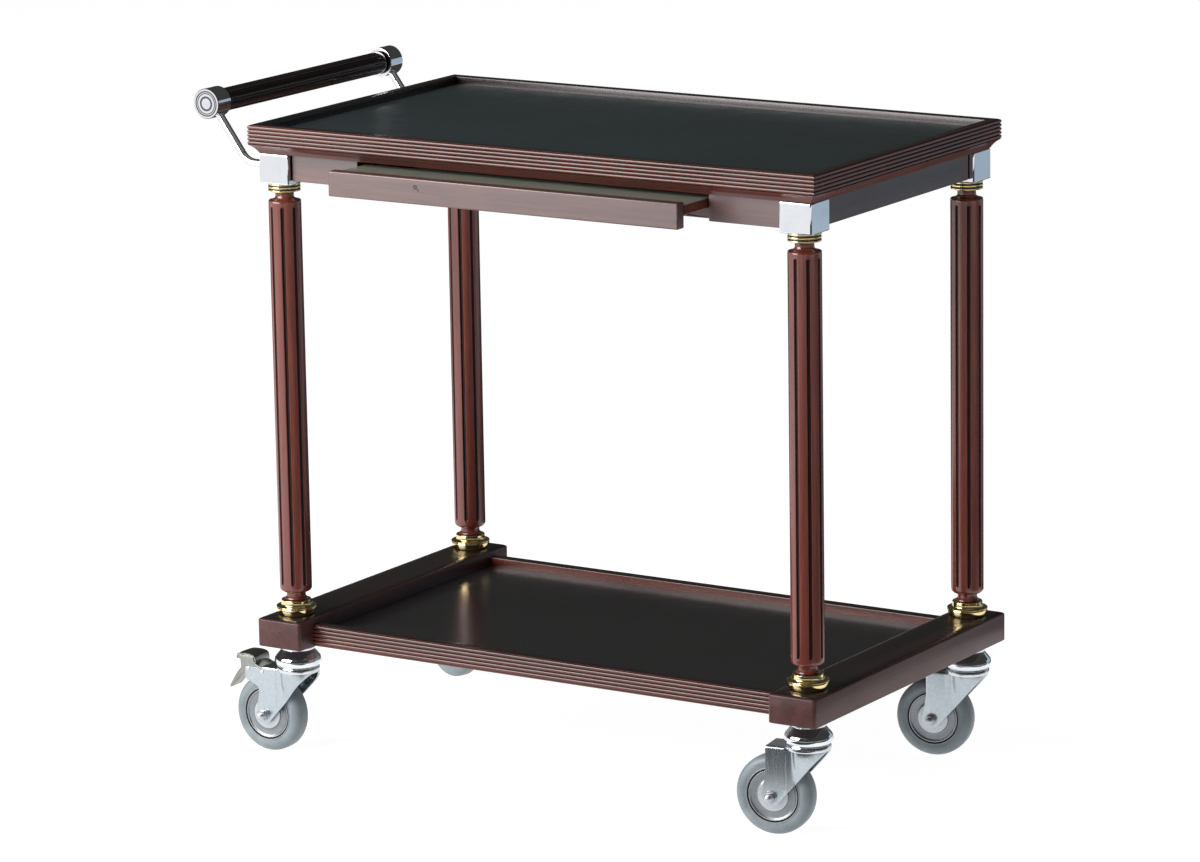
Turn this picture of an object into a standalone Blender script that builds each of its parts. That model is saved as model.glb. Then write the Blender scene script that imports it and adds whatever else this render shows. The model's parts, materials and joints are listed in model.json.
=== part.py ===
"""Food service trolley: a wooden two-tier trolley with a pull-out slide and four swivel casters.

Metres, +Z up, origin on the floor under the middle of the trolley's bounding box. +X runs along
the length, away from the handle, and the slide pulls out towards -Y. The pieces are laid out about
the middle of the tray, and an empty carries the whole trolley to its place over the origin.
"""
import math

import bmesh
import bpy
from mathutils import Matrix, Vector

GAP = 0.0003                     # left between two pieces that touch
TRAY_MIDDLE = (0.0499, 0.0169, 0.0)   # where the middle of the tray stands in the model's frame

# ---- driving dimensions -------------------------------------------------------------------
TOP_LENGTH, TOP_WIDTH, TOP_HEIGHT = 0.816, 0.464, 0.816
LEG_PITCH_X, LEG_PITCH_Y = 0.752, 0.400
WHEEL_DIAMETER, TYRE_WIDTH, TRAIL, TYRE_FLATS = 0.100, 0.0286, 0.042, 28

RIM_FACE = 0.0245                # height of the reeded face of the top rim
COVE_HEIGHT, COVE_DEPTH = 0.0113, 0.0105
RIM_LIP, RIM_TOP_WIDTH, RIM_WIDTH = 0.009, 0.0145, 0.035
REEDS, REED_DEPTH = 5, 0.0013
PANEL_THICKNESS, PANEL_REBATE = 0.012, 0.0075

BLOCK_SIZE, BLOCK_HEIGHT = 0.044, 0.038
APRON_HEIGHT, APRON_THICKNESS, APRON_INSET = 0.0335, 0.018, 0.007

COLUMN_RADIUS, NECK_RADIUS, TENON_RADIUS = 0.0205, 0.0118, 0.0075
COLUMN_BOTTOM, COLUMN_TOP = 0.2148, 0.7195
FLUTES, FLUTE_WIDTH, FLUTE_DEPTH, FLUTE_RUNOUT = 8, 0.0076, 0.0021, 0.004
FLUTE_LOW, FLUTE_HIGH = 0.2243, 0.7128

COLLAR_RADIUS, COLLAR_HEIGHT = 0.0203, 0.0106
BASE_COLLAR_HEIGHT = 0.0192

BEAM_WIDTH, BEAM_HEIGHT, BEAM_LENGTH, BEAM_BOTTOM = 0.0658, 0.0378, 0.482, 0.1474
SHELF_RIM_HEIGHT, SHELF_RIM_FACE_Y, SHELF_RIM_BOTTOM = 0.0279, 0.212, 0.1484
SHELF_RIM_TOP_WIDTH, SHELF_RIM_WIDTH, SHELF_LIP = 0.0165, 0.028, 0.010

NOTCH_LENGTH = 0.507             # opening in the front apron that the slide fills
SLIDE_OPEN = 0.067               # how far the slide stands open
FASCIA_THICKNESS, FASCIA_HEIGHT, FASCIA_LENGTH = 0.015, 0.0315, 0.502
BOARD_THICKNESS, BOARD_DEPTH, BOARD_DROP = 0.012, 0.360, 0.0040
CLEARANCE = 0.001                # running clearance around the slide
RUNNER_LEDGE, RUNNER_WIDTH, RUNNER_DROP = 0.012, 0.018, 0.012
RUNNER_END_Y, STOP_RAIL = 0.190, 0.012

HANDLE_X, HANDLE_Z = -0.4894, 0.8330
CAP_RADIUS, CAP_LENGTH, CAP_OUTER_Y = 0.0193, 0.0275, 0.2058
GRIP_RADIUS, SOCKET_DEPTH = 0.0146, 0.012
ARM_RADIUS, ARM_BEND, ARM_SLOPE = 0.0050, 0.024, math.radians(54)
ARM_Y = 0.1920                   # the arms meet the caps in the middle of their length

HEAD_TOP_RADIUS, HEAD_RADIUS, HEAD_BOTTOM = 0.0210, 0.0300, 0.1180
RACEWAY_RADIUS, RACEWAY_THICKNESS = 0.0280, 0.0042
FORK_HALF_WIDTH, FORK_PLATE = 0.0195, 0.0030
FORK_FRONT, FORK_REAR, FORK_END_RADIUS = 0.0495, -0.0270, 0.0120
HUB_RADIUS, HUB_BOSS_RADIUS = 0.0320, 0.0200
AXLE_RADIUS, NUT_RADIUS, NUT_HEIGHT, BOLT_STUB = 0.0040, 0.0068, 0.0065, 0.0060
KINGPIN_RADIUS = 0.0060
BRAKE_PIVOT_U, BRAKE_PIVOT_Z, BRAKE_PIN_RADIUS = 0.0434, 0.1060, 0.0025

# swivel angle of each caster: the direction from the swivel axis to the wheel, in degrees
SWIVEL = {"front_left": 180.0, "front_right": 188.5, "back_left": 159.0, "back_right": 191.0}
BRAKED = ("front_left", "back_left")

# ---- derived heights ----------------------------------------------------------------------
RIM_BOTTOM = TOP_HEIGHT - RIM_FACE - COVE_HEIGHT
BLOCK_TOP = RIM_BOTTOM - GAP
BLOCK_BOTTOM = BLOCK_TOP - BLOCK_HEIGHT
BEAM_TOP = BEAM_BOTTOM + BEAM_HEIGHT
WHEEL_RADIUS = WHEEL_DIAMETER / 2
CORNERS = {
    side + "_" + end: (sx * LEG_PITCH_X / 2, sy * LEG_PITCH_Y / 2)
    for side, sy in (("front", -1), ("back", 1))
    for end, sx in (("left", -1), ("right", 1))
}

# ---- materials ----------------------------------------------------------------------------
FINISHES = {
    "stained_wood": ((0.10, 0.035, 0.028), 0.30, 0.0),
    "dark_laminate": ((0.020, 0.026, 0.028), 0.35, 0.0),
    "chrome": ((0.80, 0.82, 0.85), 0.10, 1.0),
    "brass": ((0.83, 0.72, 0.38), 0.15, 1.0),
    "zinc_steel": ((0.62, 0.63, 0.66), 0.30, 1.0),
    "grey_rubber": ((0.26, 0.30, 0.31), 0.60, 0.0),
}


def finish(name):
    """The shared Principled material of this name."""
    material = bpy.data.materials.get(name)
    if material is None:
        color, roughness, metallic = FINISHES[name]
        material = bpy.data.materials.new(name)
        material.use_nodes = True
        shader = material.node_tree.nodes["Principled BSDF"]
        shader.inputs["Base Color"].default_value = (*color, 1.0)
        shader.inputs["Roughness"].default_value = roughness
        shader.inputs["Metallic"].default_value = metallic
    return material


# ---- modelling helpers --------------------------------------------------------------------
def trolley_frame():
    """The empty that carries the trolley, made when first asked for."""
    empty = bpy.data.objects.get("trolley")
    if empty is None:
        empty = bpy.data.objects.new("trolley", None)
        bpy.context.collection.objects.link(empty)
        empty.location = TRAY_MIDDLE
    return empty


def make_object(name, bm, finish_name, location=(0, 0, 0), parent=None, smooth=True):
    """Turns a bmesh into a named object with one material."""
    bmesh.ops.remove_doubles(bm, verts=bm.verts, dist=1e-6)
    bmesh.ops.recalc_face_normals(bm, faces=bm.faces)
    mesh = bpy.data.meshes.new(name)
    bm.to_mesh(mesh)
    bm.free()
    if smooth:
        mesh.shade_smooth()
        mesh.set_sharp_from_angle(angle=math.radians(35))
    mesh.materials.append(finish(finish_name))
    obj = bpy.data.objects.new(name, mesh)
    bpy.context.collection.objects.link(obj)
    obj.location = location
    obj.parent = parent or trolley_frame()
    return obj


def box(bm, low, high):
    """Adds a box between two corners."""
    size = Vector(high) - Vector(low)
    middle = (Vector(high) + Vector(low)) / 2
    bmesh.ops.create_cube(bm, size=1.0, matrix=Matrix.Translation(middle) @ Matrix.Diagonal((*size, 1.0)))


def bevel_all(bm, width, segments):
    """Rounds every edge of the shape."""
    bmesh.ops.bevel(
        bm, geom=list(bm.edges), offset=width, segments=segments, profile=0.5, affect="EDGES",
        clamp_overlap=True,
    )


def prism(bm, outline, start, end):
    """Extrudes a closed outline of (a, b) points; start and end map a point to 3-D."""
    first = [bm.verts.new(start(a, b)) for a, b in outline]
    second = [bm.verts.new(end(a, b)) for a, b in outline]
    bm.faces.new(first)
    bm.faces.new(list(reversed(second)))
    for i in range(len(outline)):
        j = (i + 1) % len(outline)
        bm.faces.new((first[j], first[i], second[i], second[j]))


def lathe(bm, profile, segments, axis="Z", phase=0.0):
    """Turns a closed loop of (radius, height) points about an axis; radius 0 points join up."""
    rings = []
    for radius, height in profile:
        count = 1 if radius == 0 else segments
        ring = []
        for i in range(count):
            angle = 2 * math.pi * (i + phase) / segments
            x, y = radius * math.cos(angle), radius * math.sin(angle)
            ring.append(bm.verts.new((x, y, height) if axis == "Z" else (x, height, y)))
        rings.append(ring)
    for k, lower in enumerate(rings):
        upper = rings[(k + 1) % len(rings)]
        if len(lower) == 1 and len(upper) == 1:
            continue
        for i in range(segments):
            j = (i + 1) % segments
            below = [lower[i % len(lower)], lower[j % len(lower)]]
            above = [upper[j % len(upper)], upper[i % len(upper)]]
            bm.faces.new(list(dict.fromkeys(below + above)))


def combine(obj, tools, operation):
    """Joins or cuts an object with other objects, and removes them."""
    for tool in tools:
        modifier = obj.modifiers.new("shape", "BOOLEAN")
        modifier.operation = operation
        modifier.solver = "EXACT"
        modifier.object = tool
    bpy.context.view_layer.update()
    graph = bpy.context.evaluated_depsgraph_get()
    mesh = bpy.data.meshes.new_from_object(obj.evaluated_get(graph))
    obj.modifiers.clear()
    obj.data = mesh
    for tool in tools:
        bpy.data.objects.remove(tool)
    mesh.shade_smooth()
    mesh.set_sharp_from_angle(angle=math.radians(35))


def tool_from(bm, parent=None):
    """A throw-away object for combine()."""
    return make_object("tool", bm, "zinc_steel", parent=parent)


def arc(center, radius, start, stop, steps):
    """Points along an arc, angles in degrees."""
    angles = [math.radians(start + (stop - start) * i / steps) for i in range(steps + 1)]
    return [(center[0] + radius * math.cos(a), center[1] + radius * math.sin(a)) for a in angles]


def reeded_face(bottom, height):
    """A row of rounded reeds up a vertical face at depth 0, as (depth, height) points."""
    pitch = height / REEDS
    points = []
    for i in range(REEDS):
        for t, rise in ((0.0, 0.0), (0.22, 0.8), (0.5, 1.0), (0.78, 0.8)):
            points.append((REED_DEPTH * (1 - rise), bottom + pitch * (i + t)))
    points.append((REED_DEPTH, bottom + height))
    return points


# ---- tray: rims, panel, aprons, corner blocks ---------------------------------------------
def top_rim_section():
    """Section of the top rim as (depth from the outer face, height) points."""
    top = TOP_HEIGHT
    groove_top = top - RIM_LIP + GAP
    groove_bottom = top - RIM_LIP - PANEL_THICKNESS - GAP
    groove_depth = RIM_TOP_WIDTH + PANEL_REBATE
    cove_top = RIM_BOTTOM + COVE_HEIGHT
    return [
        (COVE_DEPTH, RIM_BOTTOM),
        (COVE_DEPTH * 0.55, RIM_BOTTOM + COVE_HEIGHT * 0.36),
        *reeded_face(cove_top, RIM_FACE - 0.001),
        (REED_DEPTH + 0.001, top),
        (RIM_TOP_WIDTH - 0.001, top),
        (RIM_TOP_WIDTH, top - 0.001),
        (RIM_TOP_WIDTH, groove_top),
        (groove_depth, groove_top),
        (groove_depth, groove_bottom),
        (RIM_WIDTH, groove_bottom),
        (RIM_WIDTH, RIM_BOTTOM),
    ]


def mitred_rim(name, length, half_width, along_x, sign):
    """One side of the top frame, mitred at both ends."""
    bm = bmesh.new()

    def place(end):
        def point(depth, height):
            across = sign * (half_width - depth)
            run = end * (length / 2 - depth - GAP / 2)
            return (run, across, height) if along_x else (across, run, height)
        return point

    prism(bm, top_rim_section(), place(-1), place(1))
    return make_object(name, bm, "stained_wood", smooth=False)


def build_tray():
    for name, sign in (("front", -1), ("back", 1)):
        mitred_rim("tray_rim_" + name, TOP_LENGTH, TOP_WIDTH / 2, True, sign)
    for name, sign in (("left", -1), ("right", 1)):
        mitred_rim("tray_rim_" + name, TOP_WIDTH, TOP_LENGTH / 2, False, sign)

    edge = RIM_TOP_WIDTH + PANEL_REBATE + GAP
    x, y = TOP_LENGTH / 2 - edge, TOP_WIDTH / 2 - edge
    top = TOP_HEIGHT - RIM_LIP
    bm = bmesh.new()
    box(bm, (-x, -y, top - PANEL_THICKNESS), (x, y, top))
    make_object("tray_panel", bm, "dark_laminate", smooth=False)

    for corner, (cx, cy) in CORNERS.items():
        bm = bmesh.new()
        half = BLOCK_SIZE / 2
        box(bm, (-half, -half, BLOCK_BOTTOM), (half, half, BLOCK_TOP))
        bevel_all(bm, 0.0012, 2)
        make_object("corner_block_" + corner, bm, "chrome", location=(cx, cy, 0))


def apron_limits():
    """Half-lengths between the blocks and outer faces of the aprons, in X and in Y."""
    between_x = LEG_PITCH_X / 2 - BLOCK_SIZE / 2 - GAP
    between_y = LEG_PITCH_Y / 2 - BLOCK_SIZE / 2 - GAP
    outer_x = LEG_PITCH_X / 2 + BLOCK_SIZE / 2 - APRON_INSET
    outer_y = LEG_PITCH_Y / 2 + BLOCK_SIZE / 2 - APRON_INSET
    return between_x, between_y, outer_x, outer_y


def build_aprons():
    between_x, between_y, outer_x, outer_y = apron_limits()
    top = BLOCK_TOP
    bottom = top - APRON_HEIGHT
    for name, sign in (("left", -1), ("right", 1)):
        bm = bmesh.new()
        faces = sorted((sign * outer_x, sign * (outer_x - APRON_THICKNESS)))
        box(bm, (faces[0], -between_y, bottom), (faces[1], between_y, top))
        make_object("apron_" + name, bm, "stained_wood", smooth=False)
    bm = bmesh.new()
    box(bm, (-between_x, outer_y - APRON_THICKNESS, bottom), (between_x, outer_y, top))
    make_object("apron_back", bm, "stained_wood", smooth=False)

    # The front apron is one thick board. Its middle is rebated so that the fascia closes flush
    # in front of it and the slide's board runs over it.
    rebate = -outer_y + FASCIA_THICKNESS + CLEARANCE
    inner = rebate + APRON_THICKNESS
    rail_top = slide_levels()["board_bottom"] - GAP
    notch = NOTCH_LENGTH / 2
    outline = [
        (-between_x, bottom), (between_x, bottom), (between_x, top), (notch, top),
        (notch, rail_top), (-notch, rail_top), (-notch, top), (-between_x, top),
    ]
    bm = bmesh.new()
    prism(bm, outline, lambda a, b: (a, -outer_y, b), lambda a, b: (a, inner, b))
    board = make_object("apron_front", bm, "stained_wood", smooth=False)
    bm = bmesh.new()
    box(bm, (-notch, -outer_y - 0.01, bottom - 0.01), (notch, rebate, top + 0.01))
    combine(board, [tool_from(bm)], "DIFFERENCE")


# ---- slide --------------------------------------------------------------------------------
def slide_levels():
    """Heights of the slide's fascia and board."""
    fascia_bottom = BLOCK_TOP - APRON_HEIGHT
    fascia_top = fascia_bottom + FASCIA_HEIGHT
    board_top = fascia_top - BOARD_DROP
    return {
        "fascia_bottom": fascia_bottom,
        "fascia_top": fascia_top,
        "board_top": board_top,
        "board_bottom": board_top - BOARD_THICKNESS,
    }


def build_slide():
    level = slide_levels()
    outer_y = apron_limits()[3]
    front = -outer_y - SLIDE_OPEN
    behind = front + FASCIA_THICKNESS
    half = FASCIA_LENGTH / 2
    bm = bmesh.new()
    box(bm, (-half, front, level["fascia_bottom"]), (half, behind, level["fascia_top"]))
    bevel_all(bm, 0.001, 1)
    make_object("slide_fascia", bm, "stained_wood", smooth=False)
    bm = bmesh.new()
    near, far = behind + GAP, behind + BOARD_DEPTH
    box(bm, (-half, near, level["board_bottom"]), (half, far, level["board_top"]))
    make_object("slide_board", bm, "dark_laminate", smooth=False)

    # Two rebated runners and a stop rail across the back carry the board under the tray.
    start = -outer_y + FASCIA_THICKNESS + CLEARANCE + APRON_THICKNESS + GAP
    wall, ledge, outside = half + CLEARANCE, half - RUNNER_LEDGE, half + RUNNER_WIDTH
    under, top = level["board_bottom"] - RUNNER_DROP, TOP_HEIGHT - RIM_LIP - PANEL_THICKNESS - GAP
    ledge_top = level["board_bottom"] - GAP
    pieces = []
    for sign in (-1, 1):
        outline = [
            (sign * ledge, under), (sign * outside, under), (sign * outside, top),
            (sign * wall, top), (sign * wall, ledge_top), (sign * ledge, ledge_top),
        ]
        bm = bmesh.new()
        prism(bm, outline, lambda a, b: (a, start, b), lambda a, b: (a, RUNNER_END_Y, b))
        pieces.append(bm)
    cross = bmesh.new()
    box(cross, (-outside, RUNNER_END_Y - STOP_RAIL, under), (outside, RUNNER_END_Y, top))
    guide = make_object("slide_guide", pieces[0], "stained_wood", smooth=False)
    combine(guide, [tool_from(pieces[1]), tool_from(cross)], "UNION")


# ---- columns and their brass collars ------------------------------------------------------
def column_ring(bm, height, radius, flute):
    """A ring of points; flute says how deep the flutes are cut, from 0 to 1."""
    ring = []
    half = math.asin(FLUTE_WIDTH / 2 / COLUMN_RADIUS)
    for i in range(FLUTES):
        middle = 2 * math.pi * i / FLUTES
        for offset, depth in ((-half, 0), (0, 1), (half, 0)):
            angle = middle + offset
            r = radius - FLUTE_DEPTH * depth * flute
            ring.append(bm.verts.new((r * math.cos(angle), r * math.sin(angle), height)))
    return ring


def build_column(corner, location):
    low, high = COLUMN_BOTTOM, COLUMN_TOP
    seat = BEAM_TOP + BASE_COLLAR_HEIGHT + 2 * GAP
    head = BLOCK_BOTTOM - COLLAR_HEIGHT - 2 * GAP
    levels = [
        (BEAM_TOP + GAP, TENON_RADIUS, 0), (seat, TENON_RADIUS, 0), (seat, NECK_RADIUS + 0.0025, 0),
        (seat + 0.003, NECK_RADIUS, 0), (low, NECK_RADIUS, 0), (low, COLUMN_RADIUS - 0.006, 0),
        (low + 0.0022, COLUMN_RADIUS - 0.002, 0), (low + 0.0057, COLUMN_RADIUS, 0),
        (FLUTE_LOW, COLUMN_RADIUS, 0), (FLUTE_LOW + FLUTE_RUNOUT, COLUMN_RADIUS, 1),
        (FLUTE_HIGH - FLUTE_RUNOUT, COLUMN_RADIUS, 1), (FLUTE_HIGH, COLUMN_RADIUS, 0),
        (high - 0.002, COLUMN_RADIUS, 0), (high, COLUMN_RADIUS - 0.001, 0),
        (high + 0.001, COLUMN_RADIUS - 0.004, 0), (high + 0.003, NECK_RADIUS, 0),
        (head, NECK_RADIUS, 0), (head, TENON_RADIUS, 0), (BLOCK_BOTTOM - GAP, TENON_RADIUS, 0),
    ]
    bm = bmesh.new()
    rings = [column_ring(bm, *level) for level in levels]
    bm.faces.new(rings[0])
    bm.faces.new(rings[-1])
    for lower, upper in zip(rings, rings[1:]):
        for i in range(len(lower)):
            j = (i + 1) % len(lower)
            bm.faces.new((lower[i], lower[j], upper[j], upper[i]))
    make_object("column_" + corner, bm, "stained_wood", location=location)


def build_collars(corner, location):
    bore = TENON_RADIUS + GAP
    top, r = BLOCK_BOTTOM - GAP, COLLAR_RADIUS
    ring = COLLAR_HEIGHT / 3
    profile = [(bore, top)]
    for i in range(3):
        upper = top - ring * i
        profile += [(r - 0.0006, upper), (r, upper - ring * 0.5)]
    profile += [(r - 0.0015, top - COLLAR_HEIGHT), (bore, top - COLLAR_HEIGHT)]
    bm = bmesh.new()
    lathe(bm, profile, 20)
    make_object("top_collar_" + corner, bm, "brass", location=location)

    low = BEAM_TOP + GAP
    profile = [
        (bore, low), (0.0233, low), (0.0246, low + 0.0035), (0.0256, low + 0.0100),
        (0.0250, low + 0.0107), (0.0192, low + 0.0118), (0.0190, low + BASE_COLLAR_HEIGHT),
        (bore, low + BASE_COLLAR_HEIGHT),
    ]
    bm = bmesh.new()
    lathe(bm, profile, 20)
    make_object("base_collar_" + corner, bm, "brass", location=location)


# ---- lower tier ---------------------------------------------------------------------------
def build_lower_tier():
    for name, sign in (("left", -1), ("right", 1)):
        bm = bmesh.new()
        middle, half, end = sign * LEG_PITCH_X / 2, BEAM_WIDTH / 2, BEAM_LENGTH / 2
        box(bm, (middle - half, -end, BEAM_BOTTOM), (middle + half, end, BEAM_TOP))
        bevel_all(bm, 0.0015, 2)
        make_object("beam_" + name, bm, "stained_wood")

    half = LEG_PITCH_X / 2 - BEAM_WIDTH / 2 - GAP
    low, high = SHELF_RIM_BOTTOM, SHELF_RIM_BOTTOM + SHELF_RIM_HEIGHT
    panel_top = high - SHELF_LIP
    panel_bottom = panel_top - PANEL_THICKNESS
    groove = SHELF_RIM_TOP_WIDTH + PANEL_REBATE
    section = [
        (REED_DEPTH, low),
        *reeded_face(low + 0.0025, SHELF_RIM_HEIGHT - 0.0035),
        (REED_DEPTH + 0.001, high), (SHELF_RIM_TOP_WIDTH - 0.001, high),
        (SHELF_RIM_TOP_WIDTH, high - 0.001), (SHELF_RIM_TOP_WIDTH, panel_top + GAP),
        (groove, panel_top + GAP), (groove, panel_bottom - GAP),
        (SHELF_RIM_WIDTH, panel_bottom - GAP), (SHELF_RIM_WIDTH, low),
    ]
    for name, sign in (("front", -1), ("back", 1)):
        bm = bmesh.new()
        prism(
            bm, section,
            lambda a, b: (-half, sign * (SHELF_RIM_FACE_Y - a), b),
            lambda a, b: (half, sign * (SHELF_RIM_FACE_Y - a), b),
        )
        make_object("shelf_rim_" + name, bm, "stained_wood", smooth=False)

    bm = bmesh.new()
    y = SHELF_RIM_FACE_Y - groove - GAP
    box(bm, (-half, -y, panel_bottom), (half, y, panel_top))
    make_object("shelf_panel", bm, "dark_laminate", smooth=False)


# ---- handle -------------------------------------------------------------------------------
def build_handle():
    start_x = -LEG_PITCH_X / 2 - BLOCK_SIZE / 2 - GAP
    level = (BLOCK_TOP + BLOCK_BOTTOM) / 2
    # The arm leaves the block level, bends upwards, and climbs straight to the cap's axis.
    climb = Vector((-math.cos(ARM_SLOPE), math.sin(ARM_SLOPE)))
    rise = HANDLE_Z - level
    tangent = ARM_BEND * math.tan(ARM_SLOPE / 2)
    knee_x = HANDLE_X + rise / math.tan(ARM_SLOPE)
    route = [(start_x, level)]
    turned = -90 - math.degrees(ARM_SLOPE)
    for point in arc((knee_x + tangent, level + ARM_BEND), ARM_BEND, -90, turned, 6):
        route.append(point)
    route.append((HANDLE_X - climb.x * CAP_RADIUS * 0.5, HANDLE_Z - climb.y * CAP_RADIUS * 0.5))

    for name, sign in (("front", -1), ("back", 1)):
        y = sign * ARM_Y
        bm = bmesh.new()
        rings = []
        for k, (x, z) in enumerate(route):
            before, after = route[max(k - 1, 0)], route[min(k + 1, len(route) - 1)]
            run = Vector((after[0] - before[0], 0, after[1] - before[1])).normalized()
            side = Vector((0, 1, 0))
            up = run.cross(side)
            ring = []
            for i in range(12):
                angle = 2 * math.pi * i / 12
                offset = (side * math.cos(angle) + up * math.sin(angle)) * ARM_RADIUS
                ring.append(bm.verts.new(Vector((x, y, z)) + offset))
            rings.append(ring)
        bm.faces.new(rings[0])
        bm.faces.new(rings[-1])
        for lower, upper in zip(rings, rings[1:]):
            for i in range(12):
                j = (i + 1) % 12
                bm.faces.new((lower[i], lower[j], upper[j], upper[i]))
        arm = make_object("handle_arm_" + name, bm, "chrome")
        bm = bmesh.new()
        across = Matrix.Translation((HANDLE_X, y, HANDLE_Z)) @ Matrix.Rotation(math.pi / 2, 4, "X")
        bmesh.ops.create_cone(
            bm, cap_ends=True, segments=48, radius1=CAP_RADIUS + 2 * GAP, radius2=CAP_RADIUS + 2 * GAP,
            depth=CAP_LENGTH, matrix=across,
        )
        combine(arm, [tool_from(bm)], "DIFFERENCE")

        inner, outer = CAP_OUTER_Y - CAP_LENGTH, CAP_OUTER_Y
        socket = GRIP_RADIUS + GAP
        profile = [
            (0, inner + SOCKET_DEPTH), (socket, inner + SOCKET_DEPTH), (socket, inner),
            (CAP_RADIUS, inner), (CAP_RADIUS, outer - 0.0035), (CAP_RADIUS - 0.0035, outer - 0.0005),
            (CAP_RADIUS - 0.007, outer - 0.0015), (0.0070, outer - 0.0012), (0.0055, outer), (0, outer),
        ]
        bm = bmesh.new()
        lathe(bm, [(r, sign * h) for r, h in profile], 20, axis="Y")
        make_object("handle_cap_" + name, bm, "chrome", location=(HANDLE_X, 0, HANDLE_Z))

    half = CAP_OUTER_Y - CAP_LENGTH + SOCKET_DEPTH - GAP
    bm = bmesh.new()
    lathe(bm, [(0, -half), (GRIP_RADIUS, -half), (GRIP_RADIUS, half), (0, half)], 24, axis="Y")
    make_object("handle_grip", bm, "stained_wood", location=(HANDLE_X, 0, HANDLE_Z))


# ---- casters ------------------------------------------------------------------------------
def empty_at(name, location, turn=0.0, parent=None):
    """A locating frame; inside a caster its own +X points from the swivel axis to the wheel."""
    empty = bpy.data.objects.new(name, None)
    bpy.context.collection.objects.link(empty)
    empty.location = location
    empty.rotation_euler = (0, 0, turn)
    empty.parent = parent or trolley_frame()
    return empty


def cross_cylinder(bm, u, z, radius, half_length, segments, middle=0.0):
    """A cylinder across the fork, centred on (u, z)."""
    turn = Matrix.Rotation(math.pi / 2, 4, "X")
    bmesh.ops.create_cone(
        bm, cap_ends=True, segments=segments, radius1=radius, radius2=radius, depth=2 * half_length,
        matrix=Matrix.Translation((u, middle, z)) @ turn,
    )


def fork_outline(braked):
    """Side view of a fork leg, as (distance along the trail, height) points."""
    top = HEAD_BOTTOM - GAP - RACEWAY_THICKNESS
    rear_touch = 232              # where the sloping rear edge leaves the rounded end, degrees
    end = arc((TRAIL, WHEEL_RADIUS), FORK_END_RADIUS, 28, -(360 - rear_touch), 8)
    outline = [(FORK_REAR, top), *reversed(end), (FORK_FRONT, 0.075)]
    if braked:
        outline += [(0.0495, 0.0880), (0.0542, 0.0942), (0.0621, 0.0959), (0.0690, 0.0990), (0.0702, top)]
    else:
        outline += [(FORK_FRONT, top - 0.004), (FORK_FRONT - 0.003, top)]
    return outline


def build_fork(corner, swivel):
    braked = corner in BRAKED
    top = HEAD_BOTTOM - GAP - RACEWAY_THICKNESS
    bm = bmesh.new()
    prism(
        bm, fork_outline(braked),
        lambda u, z: (u, -FORK_HALF_WIDTH, z), lambda u, z: (u, FORK_HALF_WIDTH, z),
    )
    fork = make_object("caster_fork_" + corner, bm, "zinc_steel", parent=swivel)
    inside = FORK_HALF_WIDTH - FORK_PLATE
    bm = bmesh.new()
    box(bm, (-0.2, -inside, 0.0), (0.2, inside, top - FORK_PLATE))
    cuts = [tool_from(bm, swivel)]
    if braked:
        bm = bmesh.new()
        box(bm, (0.041, -inside, 0.1), (0.2, inside, 0.2))
        cuts.append(tool_from(bm, swivel))
        bm = bmesh.new()
        cross_cylinder(bm, BRAKE_PIVOT_U, BRAKE_PIVOT_Z, BRAKE_PIN_RADIUS + GAP, 0.1, 12)
        cuts.append(tool_from(bm, swivel))
    bm = bmesh.new()
    cross_cylinder(bm, TRAIL, WHEEL_RADIUS, AXLE_RADIUS + GAP, 0.1, 16)
    cuts.append(tool_from(bm, swivel))
    combine(fork, cuts, "DIFFERENCE")

    bm = bmesh.new()
    raceway_top = top + RACEWAY_THICKNESS
    outline = [
        (0, top - FORK_PLATE), (RACEWAY_RADIUS, top - FORK_PLATE), (RACEWAY_RADIUS, raceway_top),
        (0, raceway_top),
    ]
    lathe(bm, outline, 20)
    combine(fork, [tool_from(bm, swivel)], "UNION")
    bm = bmesh.new()
    bmesh.ops.create_cone(
        bm, cap_ends=True, segments=16, radius1=KINGPIN_RADIUS + GAP, radius2=KINGPIN_RADIUS + GAP,
        depth=0.1, matrix=Matrix.Translation((0, 0, top)),
    )
    combine(fork, [tool_from(bm, swivel)], "DIFFERENCE")


def build_wheel(corner, wheel):
    half, r = TYRE_WIDTH / 2, WHEEL_RADIUS
    shoulder = arc((r - 0.010, half - 0.010), 0.010, 0, 90, 3)
    side = [*shoulder, (HUB_RADIUS + 0.0015, half - 0.0010), (HUB_RADIUS + GAP, half - 0.0030)]
    profile = side + [(radius, -height) for radius, height in reversed(side)]
    # The tread is a ring of flats: half a step of turn puts a flat on the floor, and the corners
    # between the flats stand proud so that each flat is a wheel radius from the axle.
    corner_radius = r / math.cos(math.pi / TYRE_FLATS)
    profile = [(radius * corner_radius / r if radius > r - 0.005 else radius, y) for radius, y in profile]
    bm = bmesh.new()
    lathe(bm, profile, TYRE_FLATS, axis="Y", phase=0.5)
    make_object("caster_tyre_" + corner, bm, "grey_rubber", parent=wheel)

    bore = AXLE_RADIUS + GAP
    side = [
        (bore, half - 0.0006), (HUB_BOSS_RADIUS - 0.003, half - 0.0006), (HUB_BOSS_RADIUS, half - 0.0035),
        (HUB_RADIUS, half - 0.0045),
    ]
    profile = side + [(radius, -height) for radius, height in reversed(side)]
    bm = bmesh.new()
    lathe(bm, profile, 20, axis="Y")
    make_object("caster_hub_" + corner, bm, "zinc_steel", parent=wheel)


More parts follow.
